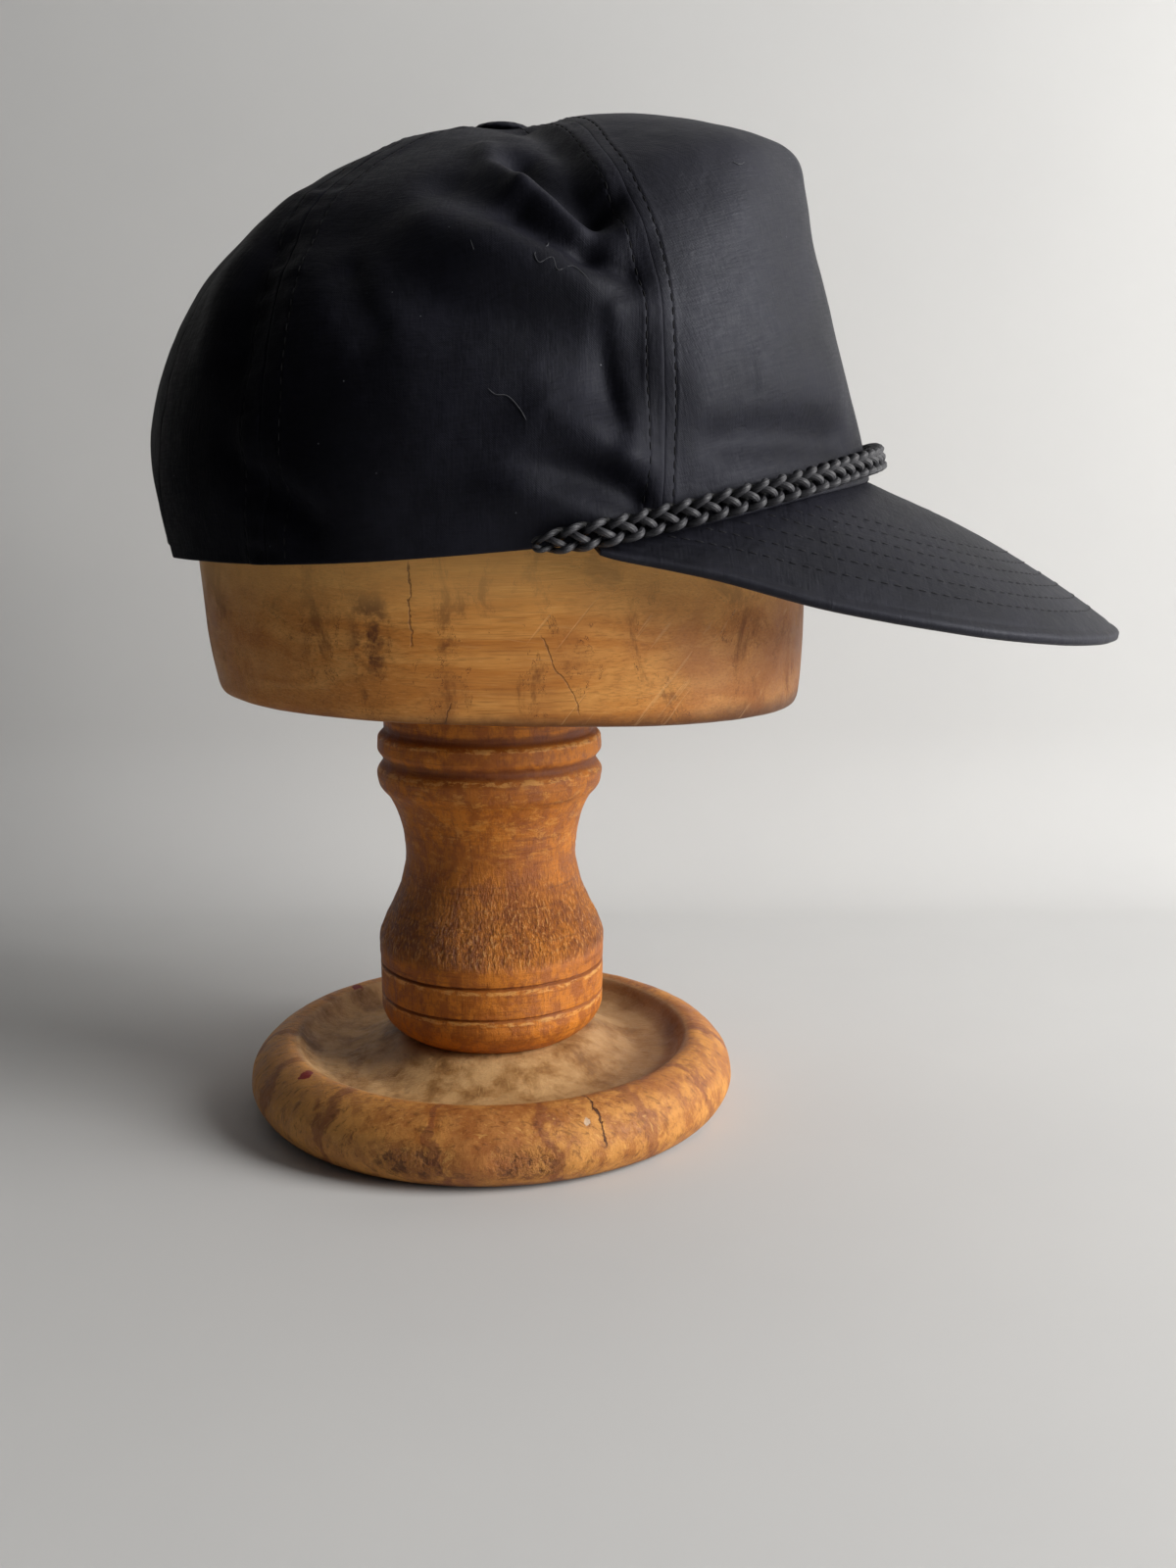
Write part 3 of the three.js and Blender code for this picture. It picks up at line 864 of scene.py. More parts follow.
def block_wood():
    """Honey-coloured block: level grain, tide lines of old stains, cracks and scratches."""
    g = Wood("block_wood")
    place = g.place()
    x, y, z = g.split(place)
    fine, flow, stain, cloud, ragged, specks, wandering = g.noises(place, BLOCK_NOISES)
    tide = g.times(g.near(stain, 0.545, 0.006), g.band(ragged, 0.45, 0.6))
    smear = g.near(g.plus(y, g.times(ragged, 8)), 31, 7, 0.8)
    smear = g.times(smear, g.near(z, 149, 14, 0.6), g.band(ragged, 0.38, 0.6))
    scuffs = g.times(g.scratches(place, 0.9, 1.6, 0.64), g.band(y, 10, -20))
    scuffs = g.highest(scuffs, g.scratches(place, -0.15, 1.2, 0.68))
    cracks = []
    for at, slant, low_end, high_end in BLOCK_CRACKS:
        lean = g.times(g.minus(z, low_end), slant)
        path = g.plus(g.minus(y, lean), g.sway(wandering, 5))
        reach = g.near(z, (low_end + high_end) / 2, (high_end - low_end) / 2, 0.2)
        line = g.near(path, at, BLOCK_CRACK_HALF_WIDTH)
        cracks.append(g.times(line, reach, g.band(x, -30, -40)))
    cracks = g.highest(*cracks)
    base = g.mix(g.band(flow, 0.36, 0.64), (220, 154, 78), (198, 126, 52))
    base = g.layers(base, [
        (g.band(fine, 0.46, 0.66, 0, 0.42), (134, 80, 32)),
        (g.band(fine, 0.3, 0.42, 0.3, 0), (232, 182, 116)),
        (g.band(cloud, 0.46, 0.66, 0, 0.6), (166, 100, 44)),
        (g.band(stain, 0.54, 0.66, 0, 0.7), (112, 62, 24)),
        (tide, (92, 48, 20)),
        # painted shade: darker to the back, on the side away from the lamp; painted shadow of the
        # peak to the front; darker at the foot
        (g.band(g.plus(y, g.sway(ragged, 60)), 28, 78, 0, 0.4), (120, 64, 20)),
        (g.band(y, -50, -92, 0, 0.45), (150, 84, 50)),
        (smear, (104, 58, 24)),
        (g.band(g.plus(z, g.times(ragged, 4)), 127, 132, 0.85, 0), (86, 48, 22)),
        (g.band(specks, 0.7, 0.76, 0, 0.7), (70, 36, 14)),
        # painted light just under the cap, lifting the shadow that the cap casts there
        (g.band(z, 148, 166, 0, 0.55), (240, 184, 108)),
        (g.times(scuffs, 0.16), (236, 194, 138)),
        (g.times(cracks, 0.55), (72, 38, 14)),
    ])
    height = g.plus(fine, g.times(flow, 0.5))
    height = g.minus(height, g.times(cracks, 2))
    height = g.minus(height, g.times(scuffs, 0.4))
    return g.finish(
        Base_Color=base,
        Roughness=g.band(stain, 0.4, 0.66, 0.44, 0.62),
        Normal=g.bump(height, 0.16),
        Specular_IOR_Level=0.35,
    )


COLUMN_NOISES = [
    # stretch along each axis, size, detail, roughness, distortion
    ((1, 1, 0.16), 0.7, 5, 0.7, 0.2),  # upright grain
    ((0.03, 0.03, 1), 0.9, 5, 0.7),  # rings left by the lathe
    ((1, 1, 0.8), 5, 9, 0.7, 0.15),  # blotches
    ((0.45, 0.45, 1), 2.2, 8, 0.78, 0.5),  # flakes
    (None, 24, 3),  # clouds
    ((1, 1, 0.36), 0.8, 4, 0.65, 0.2),  # torn grain
]
COLUMN_GROOVES = [
    # height, half width, darkness of the painted shade in it
    (34.6, 0.8, 0.5),
    (44, 0.9, 0.55),
    (105.2, 2.2, 0.65),
    (114.2, 2, 0.75),
]


def column_wood():
    """Stained orange-brown, flaked and torn: painted shade in the grooves, and a painted
    highlight on their worn lips.
    """
    g = Wood("column_wood")
    place = g.place()
    z = g.split(place)[2]
    upright, rings, blotch, flakes, cloud, tears = g.noises(place, COLUMN_NOISES)
    neck = g.near(g.plus(z, g.times(cloud, 12)), 98, 20, 0.7)
    base = g.mix(g.band(blotch, 0.42, 0.58), (168, 92, 18), (208, 124, 30))
    base = g.layers(base, [
        (g.band(cloud, 0.42, 0.62, 0, 0.45), (152, 82, 28)),
        (g.band(rings, 0.54, 0.66, 0, 0.45), (108, 50, 14)),
        (g.band(upright, 0.54, 0.66, 0, 0.4), (98, 44, 12)),
        (g.times(neck, g.band(flakes, 0.53, 0.58), 0.5), (222, 152, 66)),
        (g.band(flakes, 0.62, 0.66, 0, 0.4), (226, 160, 76)),
        (g.band(flakes, 0.4, 0.35, 0, 0.4), (104, 48, 14)),
    ])
    ragged = g.plus(z, g.sway(blotch, 2))
    grooves = []
    # painted shade in each groove, and a painted highlight, with wear, on the lip below it
    for at, half_width, darkness in COLUMN_GROOVES:
        grooves.append(g.times(g.near(ragged, at, half_width, 0.7), darkness))
        lip_highlight = g.near(ragged, at - half_width - 0.3, 0.8)
        base = g.mix(g.times(lip_highlight, g.band(flakes, 0.46, 0.54), 0.6), base, (234, 174, 96))
    above_foot = g.band(z, TORN_FOOT - 2, TORN_FOOT + 2)
    torn = g.times(g.band(z, TORN_TOP + 12, TORN_TOP - 10), above_foot)
    base = g.layers(base, [
        # painted shade in the grooves
        (g.highest(*grooves), (96, 38, 8)),
        (g.times(torn, g.band(tears, 0.5, 0.57), 0.45), (104, 52, 16)),
        (g.times(torn, g.band(tears, 0.44, 0.38), 0.65), (232, 168, 96)),
    ])
    height = g.plus(g.times(upright, 0.5), g.times(rings, 0.5))
    height = g.plus(height, g.times(flakes, 1.4))
    return g.finish(
        Base_Color=base,
        Roughness=g.band(blotch, 0.4, 0.6, 0.46, 0.62),
        Normal=g.bump(g.times(torn, tears), -1.8, 1, g.bump(height, 0.3)),
        Specular_IOR_Level=0.45,
    )


BASE_NOISES = [
    # stretch along each axis, size, detail, roughness, distortion
    ((1, 0.3, 0.3), 1.1, 7, 0.75, 0.5),  # fibres
    (None, 6, 9, 0.7, 0.15),  # mottling
    (None, 26, 4),  # clouds
    (None, 3.5, 6, 0.7),  # ragged edges
    (None, 15, 7, 0.66, 0.2),  # smudges of the dish
    (None, 9, 5),  # the wedges' wandering
]
BASE_WEDGES = [
    # turn in degrees, half width
    (143, 2.6), (171, 1.3), (-164, 2.2), (-140, 3.4), (-118, 2), (118, 3),
    (95, 2.4), (-88, 2.8), (-50, 3), (-12, 2.2), (30, 3), (64, 2),
]
BASE_DROPS = [((39, 46, 20.5), 2), ((-36.6, 51.3, 20.7), 2.6)]  # place and size of red drops
# place of a small pale spot
BASE_PALE_SPOT = (-62.9, -27.4, 17.4)
BASE_CRACK_TURN = -153.5
BASE_TORN = [(163, 13), (-171, 10)]  # turn and half width of torn patches


def base_wood():
    """Mottled base: reddish wedges in an ochre side, torn patches, a duller grey-tan dish."""
    g = Wood("base_wood")
    place = g.place()
    x, y, z = g.split(place)
    radius = g.math("SQRT", g.plus(g.times(x, x), g.times(y, y)))
    turn = g.math("DEGREES", g.math("ARCTAN2", y, x))
    fibre, mottle, cloud, ragged, smudge, wandering = g.noises(place, BASE_NOISES)
    base = g.mix(g.band(mottle, 0.4, 0.58), (170, 106, 48), (206, 142, 70))
    base = g.layers(base, [
        (g.band(cloud, 0.44, 0.64, 0, 0.55), (158, 92, 46)),
        # painted light on the side away from the lamp
        (g.band(y, 15, 60, 0, 0.4), (226, 166, 92)),
    ])
    drift = g.plus(turn, g.plus(g.sway(wandering, 16), g.times(z, 0.12)))
    for at, half_width in BASE_WEDGES:
        base = g.mix(g.times(g.near(drift, at, half_width, 0.6), 0.6), base, (128, 68, 42))
    base = g.layers(base, [
        (g.band(fibre, 0.53, 0.62, 0, 0.5), (84, 44, 20)),
        (g.band(fibre, 0.42, 0.36, 0, 0.4), (232, 178, 98)),
    ])
    spokes = g.node("CombineXYZ", {0: g.times(turn, 0.9), 1: g.times(radius, 0.1)}).outputs[0]
    spokes = g.noise(spokes, 0.9, 4, 0.6)
    floor = g.mix(g.band(smudge, 0.42, 0.62), (206, 164, 112), (164, 120, 70))
    floor = g.layers(floor, [
        (g.band(smudge, 0.56, 0.68, 0, 0.6), (118, 80, 48)),
        (g.band(spokes, 0.6, 0.7, 0, 0.5), (218, 178, 118)),
        (g.band(spokes, 0.36, 0.3, 0, 0.3), (110, 74, 44)),
        (g.band(y, -12, -48, 0, 0.55), (122, 82, 46)),
    ])
    dish = g.times(g.band(radius, 60.5, 58), g.band(z, 12, 14))
    crack = g.near(g.plus(turn, g.sway(ragged, 4)), BASE_CRACK_TURN, 0.35)
    crack = g.times(crack, g.near(z, 16, 6, 0.3), g.band(radius, 57, 59))
    torn = g.highest(*(g.near(turn, at, half_width, 0.8) for at, half_width in BASE_TORN))
    torn = g.times(torn, g.near(z, 9, 6, 0.7))
    low = g.plus(z, g.times(mottle, 3))
    base = g.layers(base, [
        (dish, floor),
        (g.times(crack, 0.9), (66, 28, 12)),
        *((g.spot(place, at, size, ragged), (140, 34, 30)) for at, size in BASE_DROPS),
        (g.times(g.spot(place, BASE_PALE_SPOT, 1.1, ragged), 0.5), (226, 212, 190)),
        (g.times(torn, g.band(ragged, 0.5, 0.58), 0.75), (84, 42, 18)),
        # painted shade at the undercut foot
        (g.band(low, 2, 5, 0.7, 0), (96, 54, 26)),
    ])
    height = g.plus(g.times(fibre, 1.3), g.times(mottle, 1.2))
    height = g.minus(height, g.times(crack, 2))
    return g.finish(
        Base_Color=base,
        Roughness=g.band(mottle, 0.4, 0.6, 0.44, 0.62),
        Normal=g.bump(g.times(torn, ragged), -2, 1, g.bump(height, 0.3)),
        Specular_IOR_Level=0.35,
    )


# ---- crown panels

ROW_STEP = 1.0
NARROW_PANEL = 26  # below this width the sewing along both sides is drawn closer


def level_rows():
    """Shares from the rim to the panels' top, close together where the rim rolls under."""
    profile = plain_crown(np.full(400, 90.0), np.linspace(0, PANEL_TOP, 400))
    length = measure(profile)
    roll = [0, 0.05, 0.15, 0.3, 0.5, 0.75, 1.1, 1.7, 2.5]
    rest = np.linspace(roll[-1], length[-1], int(length[-1] / ROW_STEP))[1:]
    at = np.r_[roll, rest]
    return np.interp(at, length, np.linspace(0, 1, 400)), at


ROWS, ROW_DISTANCE = level_rows()


def arched_rim(azimuth):
    share = (180 - np.abs(azimuth)) / ARCH_HALF_ANGLE
    return ARCH_LEVEL * np.sqrt(np.clip(1 - share * share, 0, 1))


def seam_marks(row):
    """Distances from a seam of the columns beside it, closer at its edge and its stitches."""
    return np.sort([*SEAM_MARKS, row * 0.6, *(row + mark for mark in ROW_MARKS)])


def panel_grid(left, right, start, middle_columns, rows):
    """Azimuths, levels, distances to the two seams and place across over a panel.

    left and right give the azimuth of the panel's sides at a level. start gives the level of
    its lower edge at an azimuth. Near the apex the columns beside the seams draw together,
    by the last of the values returned.
    """
    beside = [seam_marks(row) for row in rows]
    columns = 2 * len(beside[0]) + middle_columns
    azimuths = np.zeros((len(ROWS), columns))
    levels = np.zeros_like(azimuths)
    to_left = np.zeros_like(azimuths)
    to_right = np.zeros_like(azimuths)
    across = np.zeros_like(azimuths)
    squeezes = np.zeros(len(ROWS))
    for i, row in enumerate(ROWS):
        level = row * PANEL_TOP
        sweep = np.linspace(left(level), right(level), 160)
        length = measure(plain_crown(sweep, np.full(160, level)))
        squeeze = min(1.0, length[-1] / NARROW_PANEL)
        near, far = beside[0] * squeeze, length[-1] - beside[1][::-1] * squeeze
        inner = np.linspace(near[-1], far[0], middle_columns + 2)[1:-1]
        at = np.r_[near, inner, far]
        azimuths[i] = np.interp(at, length, sweep)
        to_left[i] = at / squeeze
        to_right[i] = (length[-1] - at) / squeeze
        across[i] = at - length[-1] / 2
        squeezes[i] = squeeze
        if i == 0:
            low_edge = start(azimuths[0])
        levels[i] = low_edge + (PANEL_TOP - low_edge) * row
    return azimuths, levels, to_left, to_right, across, squeezes


def sewn_relief(distance, along, row, line, pucker):
    """Height of the cloth near a seam: the turned-in edge, the allowance and a stitch row."""
    past_row = distance - row
    rise = ALLOWANCE_RISE / 2 * (1 - np.tanh((past_row - ALLOWANCE_EDGE) / ALLOWANCE_FALL))
    ridge = SEAM_RIDGE * bell(distance - RIDGE_PLACE, 0.7)
    groove = line * bell(distance, LINE_HALF_WIDTH)
    pull = 0.8 + 0.2 * np.cos(2 * math.pi * along / STITCH_PITCH)
    sewn = ROW_DEPTH * bell(past_row, ROW_HALF_WIDTH) * pull
    ripple = noise(np.stack([distance * 0.5, along, along * 0], -1), PUCKER_SIZE, 5)
    puckered = pucker * ripple * bell(distance - PUCKER_PLACE, PUCKER_REACH)
    return rise + ridge - groove - sewn + puckered


def crown_panel(name, left, right, start, middle_columns, left_seam, right_seam, material):
    """One panel of the crown. Returns the lines of its two stitch rows."""
    seams = [SEWING[left_seam], SEWING[right_seam]]
    azimuth, level, to_left, to_right, across, squeeze = panel_grid(
        left, right, start, middle_columns, [row for row, _, _ in seams]
    )
    plain = plain_crown(azimuth, level)
    normal = crown_normal(azimuth, level)
    along = np.broadcast_to(ROW_DISTANCE[:, None], azimuth.shape)
    relief = uneven(plain, CLOTH_WAVES)
    for distance, seam in zip((to_left, to_right), seams):
        relief += sewn_relief(distance, along, *seam) * squeeze[:, None]
    roll = rolled(along, RIM_ROLL)
    depth = fold_depth(plain)
    outer = plain - normal * (depth - relief + roll)[..., None]
    inner = plain - normal * (depth + CLOTH - roll)[..., None]
    worn = bell(np.minimum(to_left, to_right) - 0.5, 0.5) * 0.5
    cloth_piece(name, outer, inner, [across, along, worn], material)
    return [
        row_line(outer, normal, distance, seam[0])
        for distance, seam in zip((to_left, to_right), seams)
    ]


def build_crown(cloth, front_cloth, sewing):
    """The five panels and the stitches of their seams."""
    rim = np.zeros_like

    def seam(azimuths, side):
        """Gives a seam's azimuth at a level, from its azimuths at the levels of the tables."""
        return lambda level: side * float(smooth(CROWN_LEVELS, azimuths, np.array(level)))

    runs = crown_panel("front_panel", seam(FRONT_SEAM, -1), seam(FRONT_SEAM, 1), rim, 112,
                       "front", "front", front_cloth)
    for side, word in ((1, "right"), (-1, "left")):
        front, back = seam(FRONT_SEAM, side), seam(BACK_SEAM, side)
        middle = seam([180] * len(CROWN_LEVELS), side)
        runs += crown_panel(word + "_side_panel", front, back, rim, 82,
                            "side_front", "side_back", cloth)
        runs += crown_panel(word + "_back_panel", back, middle, arched_rim, 52,
                            "back_side", "back_middle", cloth)
    # The rows begin above the rolled edge of the rim.
    points, faces = stitches([(line[4:], away[4:]) for line, away in runs])
    piece("crown_stitches", points, faces, sewing)


LINT = [
    # places that each loose thread passes, as azimuth and level
    [(75.7, 0.481), (76.8, 0.454), (79.4, 0.434), (78.8, 0.419), (76.4, 0.424), (75.7, 0.401),
     (73.1, 0.404), (71.4, 0.388), (69.5, 0.361)],
    [(88, 0.253), (86.8, 0.243), (84.9, 0.238), (82.9, 0.216), (81.9, 0.198)],
    [(36, 0.519), (34.8, 0.512), (33.4, 0.516)],
    [(90.8, 0.476), (90.2, 0.461)],
]
LINT_RADIUS = 0.1
LINT_LIFT = 0.25


def build_lint(material):
    """A few fine loose threads that cling to the cloth."""
    paths = []
    for places in LINT:
        azimuth, level = np.array(places).T
        on_cloth = crown_point(azimuth, level, -LINT_LIFT)
        line = catmull(on_cloth, np.linspace(0, 1, 8 * len(places)))
        away = np.tile(crown_normal(azimuth[:1], level[:1]), (len(line), 1))
        paths.append((line, away, rounded_ends(len(line))))
    points, faces = tubes(paths, LINT_RADIUS, LINT_RADIUS)
    piece("lint", points, faces, material)


# ---- button and strap


def turned_points(profile, count):
    """Grid of a turned shape: a row for each radius and height."""
    angles = np.arange(count) * 2 * math.pi / count
    radius, height = np.asarray(profile, float).T
    x = radius[:, None] * np.cos(angles)
    y = radius[:, None] * np.sin(angles)
    return np.stack([x, y, np.broadcast_to(height[:, None], x.shape)], -1)


def closed_rings(rings):
    """Points and faces of rings joined in order, closed at both ends by a middle point."""
    rows, count = rings.shape[:2]
    points = np.concatenate([rings.reshape(-1, 3), rings[[0, -1]].mean(1)])
    faces = grid_faces(rows, count, wrap=True)
    first, last = rows * count, rows * count + 1
    for j in range(count):
        k = (j + 1) % count
        faces.append((first, k, j))
        faces.append((last, (rows - 1) * count + j, (rows - 1) * count + k))
    return points, outward_faces(points, faces)


BUTTON_RADIUS = 7.5
BUTTON_HEIGHT = 1.8
BUTTON_LIP = 0.6
BUTTON_SEAT = 0.5
BUTTON_GATHERS = 15
GATHER_HEIGHT = 0.12
BUTTON_WAVES = [(0.1, 3, 8)]


def build_button(cloth):
    """The covered button: a low dome with its cloth drawn under the edge."""
    angle = np.linspace(0, math.pi / 2, 22)[:-1]
    dome = np.stack([BUTTON_RADIUS * np.cos(angle), BUTTON_HEIGHT * np.sin(angle)], -1)
    under = [[BUTTON_RADIUS - 1, -BUTTON_LIP], [BUTTON_RADIUS - 0.4, -BUTTON_LIP * 0.8]]
    rings = turned_points([*under, *dome], 72)
    turn = np.arctan2(rings[..., 1], rings[..., 0])
    radius = np.hypot(rings[..., 0], rings[..., 1])
    gather = GATHER_HEIGHT * np.cos(turn * BUTTON_GATHERS) * bell(radius - BUTTON_RADIUS, 1.4)
    rings[..., 2] += gather + uneven(rings, BUTTON_WAVES)
    rings += np.array([0, -(APEX_FORWARD + APEX_LEAN), APEX_HEIGHT + BUTTON_SEAT])
    points, faces = closed_rings(rings)
    weave = points * FLAT
    piece("top_button", points, faces, cloth, ["top_button"], {"weave": weave})


STRAP_WIDTH = 18
STRAP_THICKNESS = 1.5
STRAP_HALF_ANGLE = 33
STRAP_LIFT = 2
STRAP_ROLL = 0.6
STRAP_ROW = 2.2
STRAP_MARKS = [0, 0.15, 0.4, 0.8, 1.4, 1.9, 2.2, 2.5, 3, 4, 6, 9]  # rows of points to its middle


def build_strap(cloth, sewing):
    """The strap across the rear opening, with a stitch row along each edge."""
    face = CLOTH + 3 * GAP
    ends = np.linspace(-1, 1, 121)
    azimuth = 180 + ends * STRAP_HALF_ANGLE
    azimuth = np.where(azimuth > 180, azimuth - 360, azimuth)
    marks = np.array(STRAP_MARKS)
    up = np.r_[marks, (STRAP_WIDTH - marks[::-1])[1:]]
    rim = plain_crown(azimuth, np.zeros_like(azimuth))[:, 2]
    height = rim[None] + STRAP_LIFT + up[:, None]
    wide = np.broadcast_to(azimuth, height.shape)
    level = level_at(wide, height)
    edge = np.minimum(up, STRAP_WIDTH - up)[:, None]
    roll = rolled(edge, STRAP_ROLL)
    sewn = ROW_DEPTH * bell(edge - STRAP_ROW, ROW_HALF_WIDTH)
    outer = crown_point(wide, level, face + roll + sewn)
    inner = crown_point(wide, level, face + STRAP_THICKNESS - roll)
    along = np.broadcast_to(measure(outer[len(up) // 2]), height.shape)
    weave = [along, np.broadcast_to(up[:, None], height.shape), along * 0]
    cloth_piece("back_strap", outer, inner, weave, cloth)
    away = crown_normal(wide, level)
    row = STRAP_MARKS.index(STRAP_ROW)
    points, faces = stitches([(outer[i], away[i]) for i in (row, len(up) - 1 - row)])
    piece("strap_stitches", points, faces, sewing)


# ---- peak


def catmull(points, at):
    """Centripetal Catmull-Rom curve through points, at shares 0..1 of its length."""
    points = np.asarray(points, float)
    padded = np.concatenate(
        [[2 * points[0] - points[1]], points, [2 * points[-1] - points[-2]]]
    )
    dense = []
    for p0, p1, p2, p3 in zip(padded[:-3], padded[1:-2], padded[2:-1], padded[3:]):
        t = np.cumsum(
            [0, *(np.sqrt(np.linalg.norm(b - a)) for a, b in ((p0, p1), (p1, p2), (p2, p3)))]
        )
        s = np.linspace(t[1], t[2], 40, endpoint=False)[:, None]
        a1 = (t[1] - s) / (t[1] - t[0]) * p0 + (s - t[0]) / (t[1] - t[0]) * p1
        a2 = (t[2] - s) / (t[2] - t[1]) * p1 + (s - t[1]) / (t[2] - t[1]) * p2
        a3 = (t[3] - s) / (t[3] - t[2]) * p2 + (s - t[2]) / (t[3] - t[2]) * p3
        b1 = (t[2] - s) / (t[2] - t[0]) * a1 + (s - t[0]) / (t[2] - t[0]) * a2
        b2 = (t[3] - s) / (t[3] - t[1]) * a2 + (s - t[1]) / (t[3] - t[1]) * a3
        dense.append((t[2] - s) / (t[2] - t[1]) * b1 + (s - t[1]) / (t[2] - t[1]) * b2)
    dense = np.concatenate([*dense, points[-1:]])
    length = measure(dense)
    return placed(np.asarray(at) * length[-1], length, dense)


def peak_outline():
    half = [[-side, -forward, height] for forward, side, height in PEAK_EDGE]
    other = [[-x, y, z] for x, y, z in half[-2::-1]]
    return half + other


def peak_point(across, out):
    """Upper face of the peak: across from -1 on the left to 1, out from the crown to the edge."""
    across, out = together(across, out)
    azimuth = across * PEAK_HALF_ANGLE
    root = plain_crown(azimuth, np.zeros_like(azimuth))
    inward = np.stack([-root[..., 0], -APEX_FORWARD - root[..., 1], azimuth * 0], -1)
    root = root + unit(inward) * PEAK_INSET
    root[..., 2] -= GAP + 0.2 + PEAK_CORNER_DROP * across**6
    edge = catmull(peak_outline(), np.clip((1 - across) / 2, 0, 1))
    point = root + (edge - root) * out[..., None]
    point[..., 2] += PEAK_CROWN * 4 * out * (1 - out) * (1 - across * across)
    return point


def peak_normal(across, out):
    step = 0.01
    sideways = peak_point(np.minimum(across + step, 1), out) - peak_point(
        np.maximum(across - step, -1), out
    )
    outward = peak_point(across, np.minimum(out + step, 1)) - peak_point(
        across, np.maximum(out - step, 0)
    )
    normal = unit(np.cross(sideways, outward))
    return normal * np.where(normal[..., 2:] < 0, -1, 1)


def peak_grid():
    """Shares across and out, closer together at the free edge."""
    widest = math.pi / 2 * PEAK_SPREAD
    across = np.sin(np.linspace(-1, 1, 221) * widest) / math.sin(widest)
    out = np.r_[np.linspace(0, 0.9, 104)[:-1], np.linspace(0.9, 1, 16)]
    return np.meshgrid(across, out)


def build_peak(cloth, sewing):
    """The peak: a stiff board covered in cloth, sewn in rows, with a rolled edge."""
    across, out = peak_grid()
    face = peak_point(across, out)
    normal = peak_normal(across, out)
    from_root = np.linalg.norm(face - face[:1], axis=-1)
    drawn_up = PEAK_DRAWN_UP + PEAK_CORNER_DROP * across**6
    face[..., 2] += drawn_up * bell(from_root, PEAK_DRAWN_REACH)
    edge_line = peak_point(np.linspace(-1, 1, 260), np.ones(260))
    to_edge = distance_to_line(face, edge_line)
    thickness = PEAK_THICKNESS + (PEAK_SIDE_THICKNESS - PEAK_THICKNESS) * across**10
    relief = uneven(face, PEAK_WAVES) - PEAK_WELT_DEPTH * bell(to_edge - PEAK_WELT, 0.9)
    for row in PEAK_ROWS:
        relief -= PEAK_ROW_DEPTH * bell(to_edge - row, 0.45)
    half = thickness / 2
    middle = face - normal * half[..., None]
    # The edge is a half circle from the upper face round to the lower one.
    reach = np.clip(to_edge / half, 0, 1)
    shrink = half * np.sqrt(np.clip(1 - (1 - reach) ** 2, 0, 1))
    upper = middle + normal * (shrink + relief * (reach > 0.9))[..., None]
    lower = middle - normal * (shrink - uneven(face, PEAK_UNDER_WAVES))[..., None]
    weave = [face[..., 0], face[..., 1], bell(to_edge - 0.8, 0.8) * 0.6]
    cloth_piece("peak", upper, lower, weave, cloth)
    columns = upper.swapaxes(0, 1), normal.swapaxes(0, 1), to_edge.T
    points, faces = stitches([row_line(*columns, row) for row in PEAK_ROWS])
    piece("peak_stitches", points, faces, sewing)


# ---- rope

STRANDS = 4
STRAND_HALF_WIDTH = 0.9
STRAND_HALF_THICKNESS = 0.95
STRAND_SIDES = 14
ROPE_STEP = 0.55
ROPE_TUCK = 9  # length over which each end narrows
ROPE_TIP = 0.3  # share of its width that is left there
ROPE_LIFT = 0.1


def rope_path():
    """Evenly spaced middles of the rope with the directions across it and away from the cap."""
    azimuth = np.linspace(ROPE_AZIMUTHS[-1], -ROPE_AZIMUTHS[-1], 500)
    height = smooth(ROPE_AZIMUTHS, ROPE_HEIGHTS, np.abs(azimuth))
    level = level_at(azimuth, height)
    away = crown_normal(azimuth, level)
    middle = crown_point(azimuth, level, -(GAP + ROPE_LIFT + ROPE_THICKNESS / 2))
    length = measure(middle)
    at = np.arange(0, length[-1], ROPE_STEP)
    middle, away = placed(at, length, middle), unit(placed(at, length, away))
    forward = unit(np.gradient(middle, axis=0))
    up = unit(np.cross(away, forward))
    up *= np.sign(up[:, 2:])
    out = unit(np.cross(forward, up))
    out *= np.sign((out * away).sum(-1, keepdims=True))
    return middle, up, out, at


def build_rope(material):
    """A flat plait of four strands, each passing over and under the others in turn."""
    middle, up, away, at = rope_path()
    narrow = np.clip(np.minimum(at, at[-1] - at) / ROPE_TUCK, 0, 1)
    narrow = ROPE_TIP + (1 - ROPE_TIP) * np.sqrt(narrow)
    swing = ROPE_WIDTH / 2 - STRAND_HALF_WIDTH
    lift = ROPE_THICKNESS / 2 - STRAND_HALF_THICKNESS
    around = np.arange(STRAND_SIDES) * 2 * math.pi / STRAND_SIDES
    paths, weave = [], []
    for strand in range(STRANDS):
        phase = 2 * math.pi * (strand / STRANDS - at / ROPE_PERIOD)
        over = np.cos((STRANDS - 1) * phase)
        aside = up * (swing * np.sin(phase))[:, None] + away * (lift * over)[:, None]
        paths.append((middle + aside * narrow[:, None], away, narrow))
        fields = np.broadcast_arrays(around, at[:, None], over[:, None])
        weave += [np.stack(fields, -1).reshape(-1, 3), np.zeros((2, 3))]
    points, faces = tubes(paths, STRAND_HALF_WIDTH, STRAND_HALF_THICKNESS, STRAND_SIDES)
    piece("rope_band", points, outward_faces(points, faces), material, ["rope_band"],
          {"weave": np.concatenate(weave)})


# ---- stand


def refined(profile, step):
    """Profile with points a step apart on a rounded curve that never passes its own rows."""
    profile = np.asarray(profile, float)
    length = measure(profile)
    at = np.unique(np.r_[np.linspace(0, length[-1], int(length[-1] / step)), length])
    k = stretch_of(length, at)
    span = np.diff(length)
    s = ((at - length[k]) / span[k])[:, None]
    rise = np.diff(profile, axis=0) / span[:, None]
    before, after = rise[:-1], rise[1:]
    # Slopes are zero where a value turns, and lean to the flatter side elsewhere.
    lean = 2 * before * after / np.where(before * after > 0, before + after, 1)
    slope = np.concatenate([rise[:1], np.where(before * after > 0, lean, 0), rise[-1:]])
    wide = span[k][:, None]
    return hermite(s, profile[k], profile[k + 1], wide * slope[k], wide * slope[k + 1])


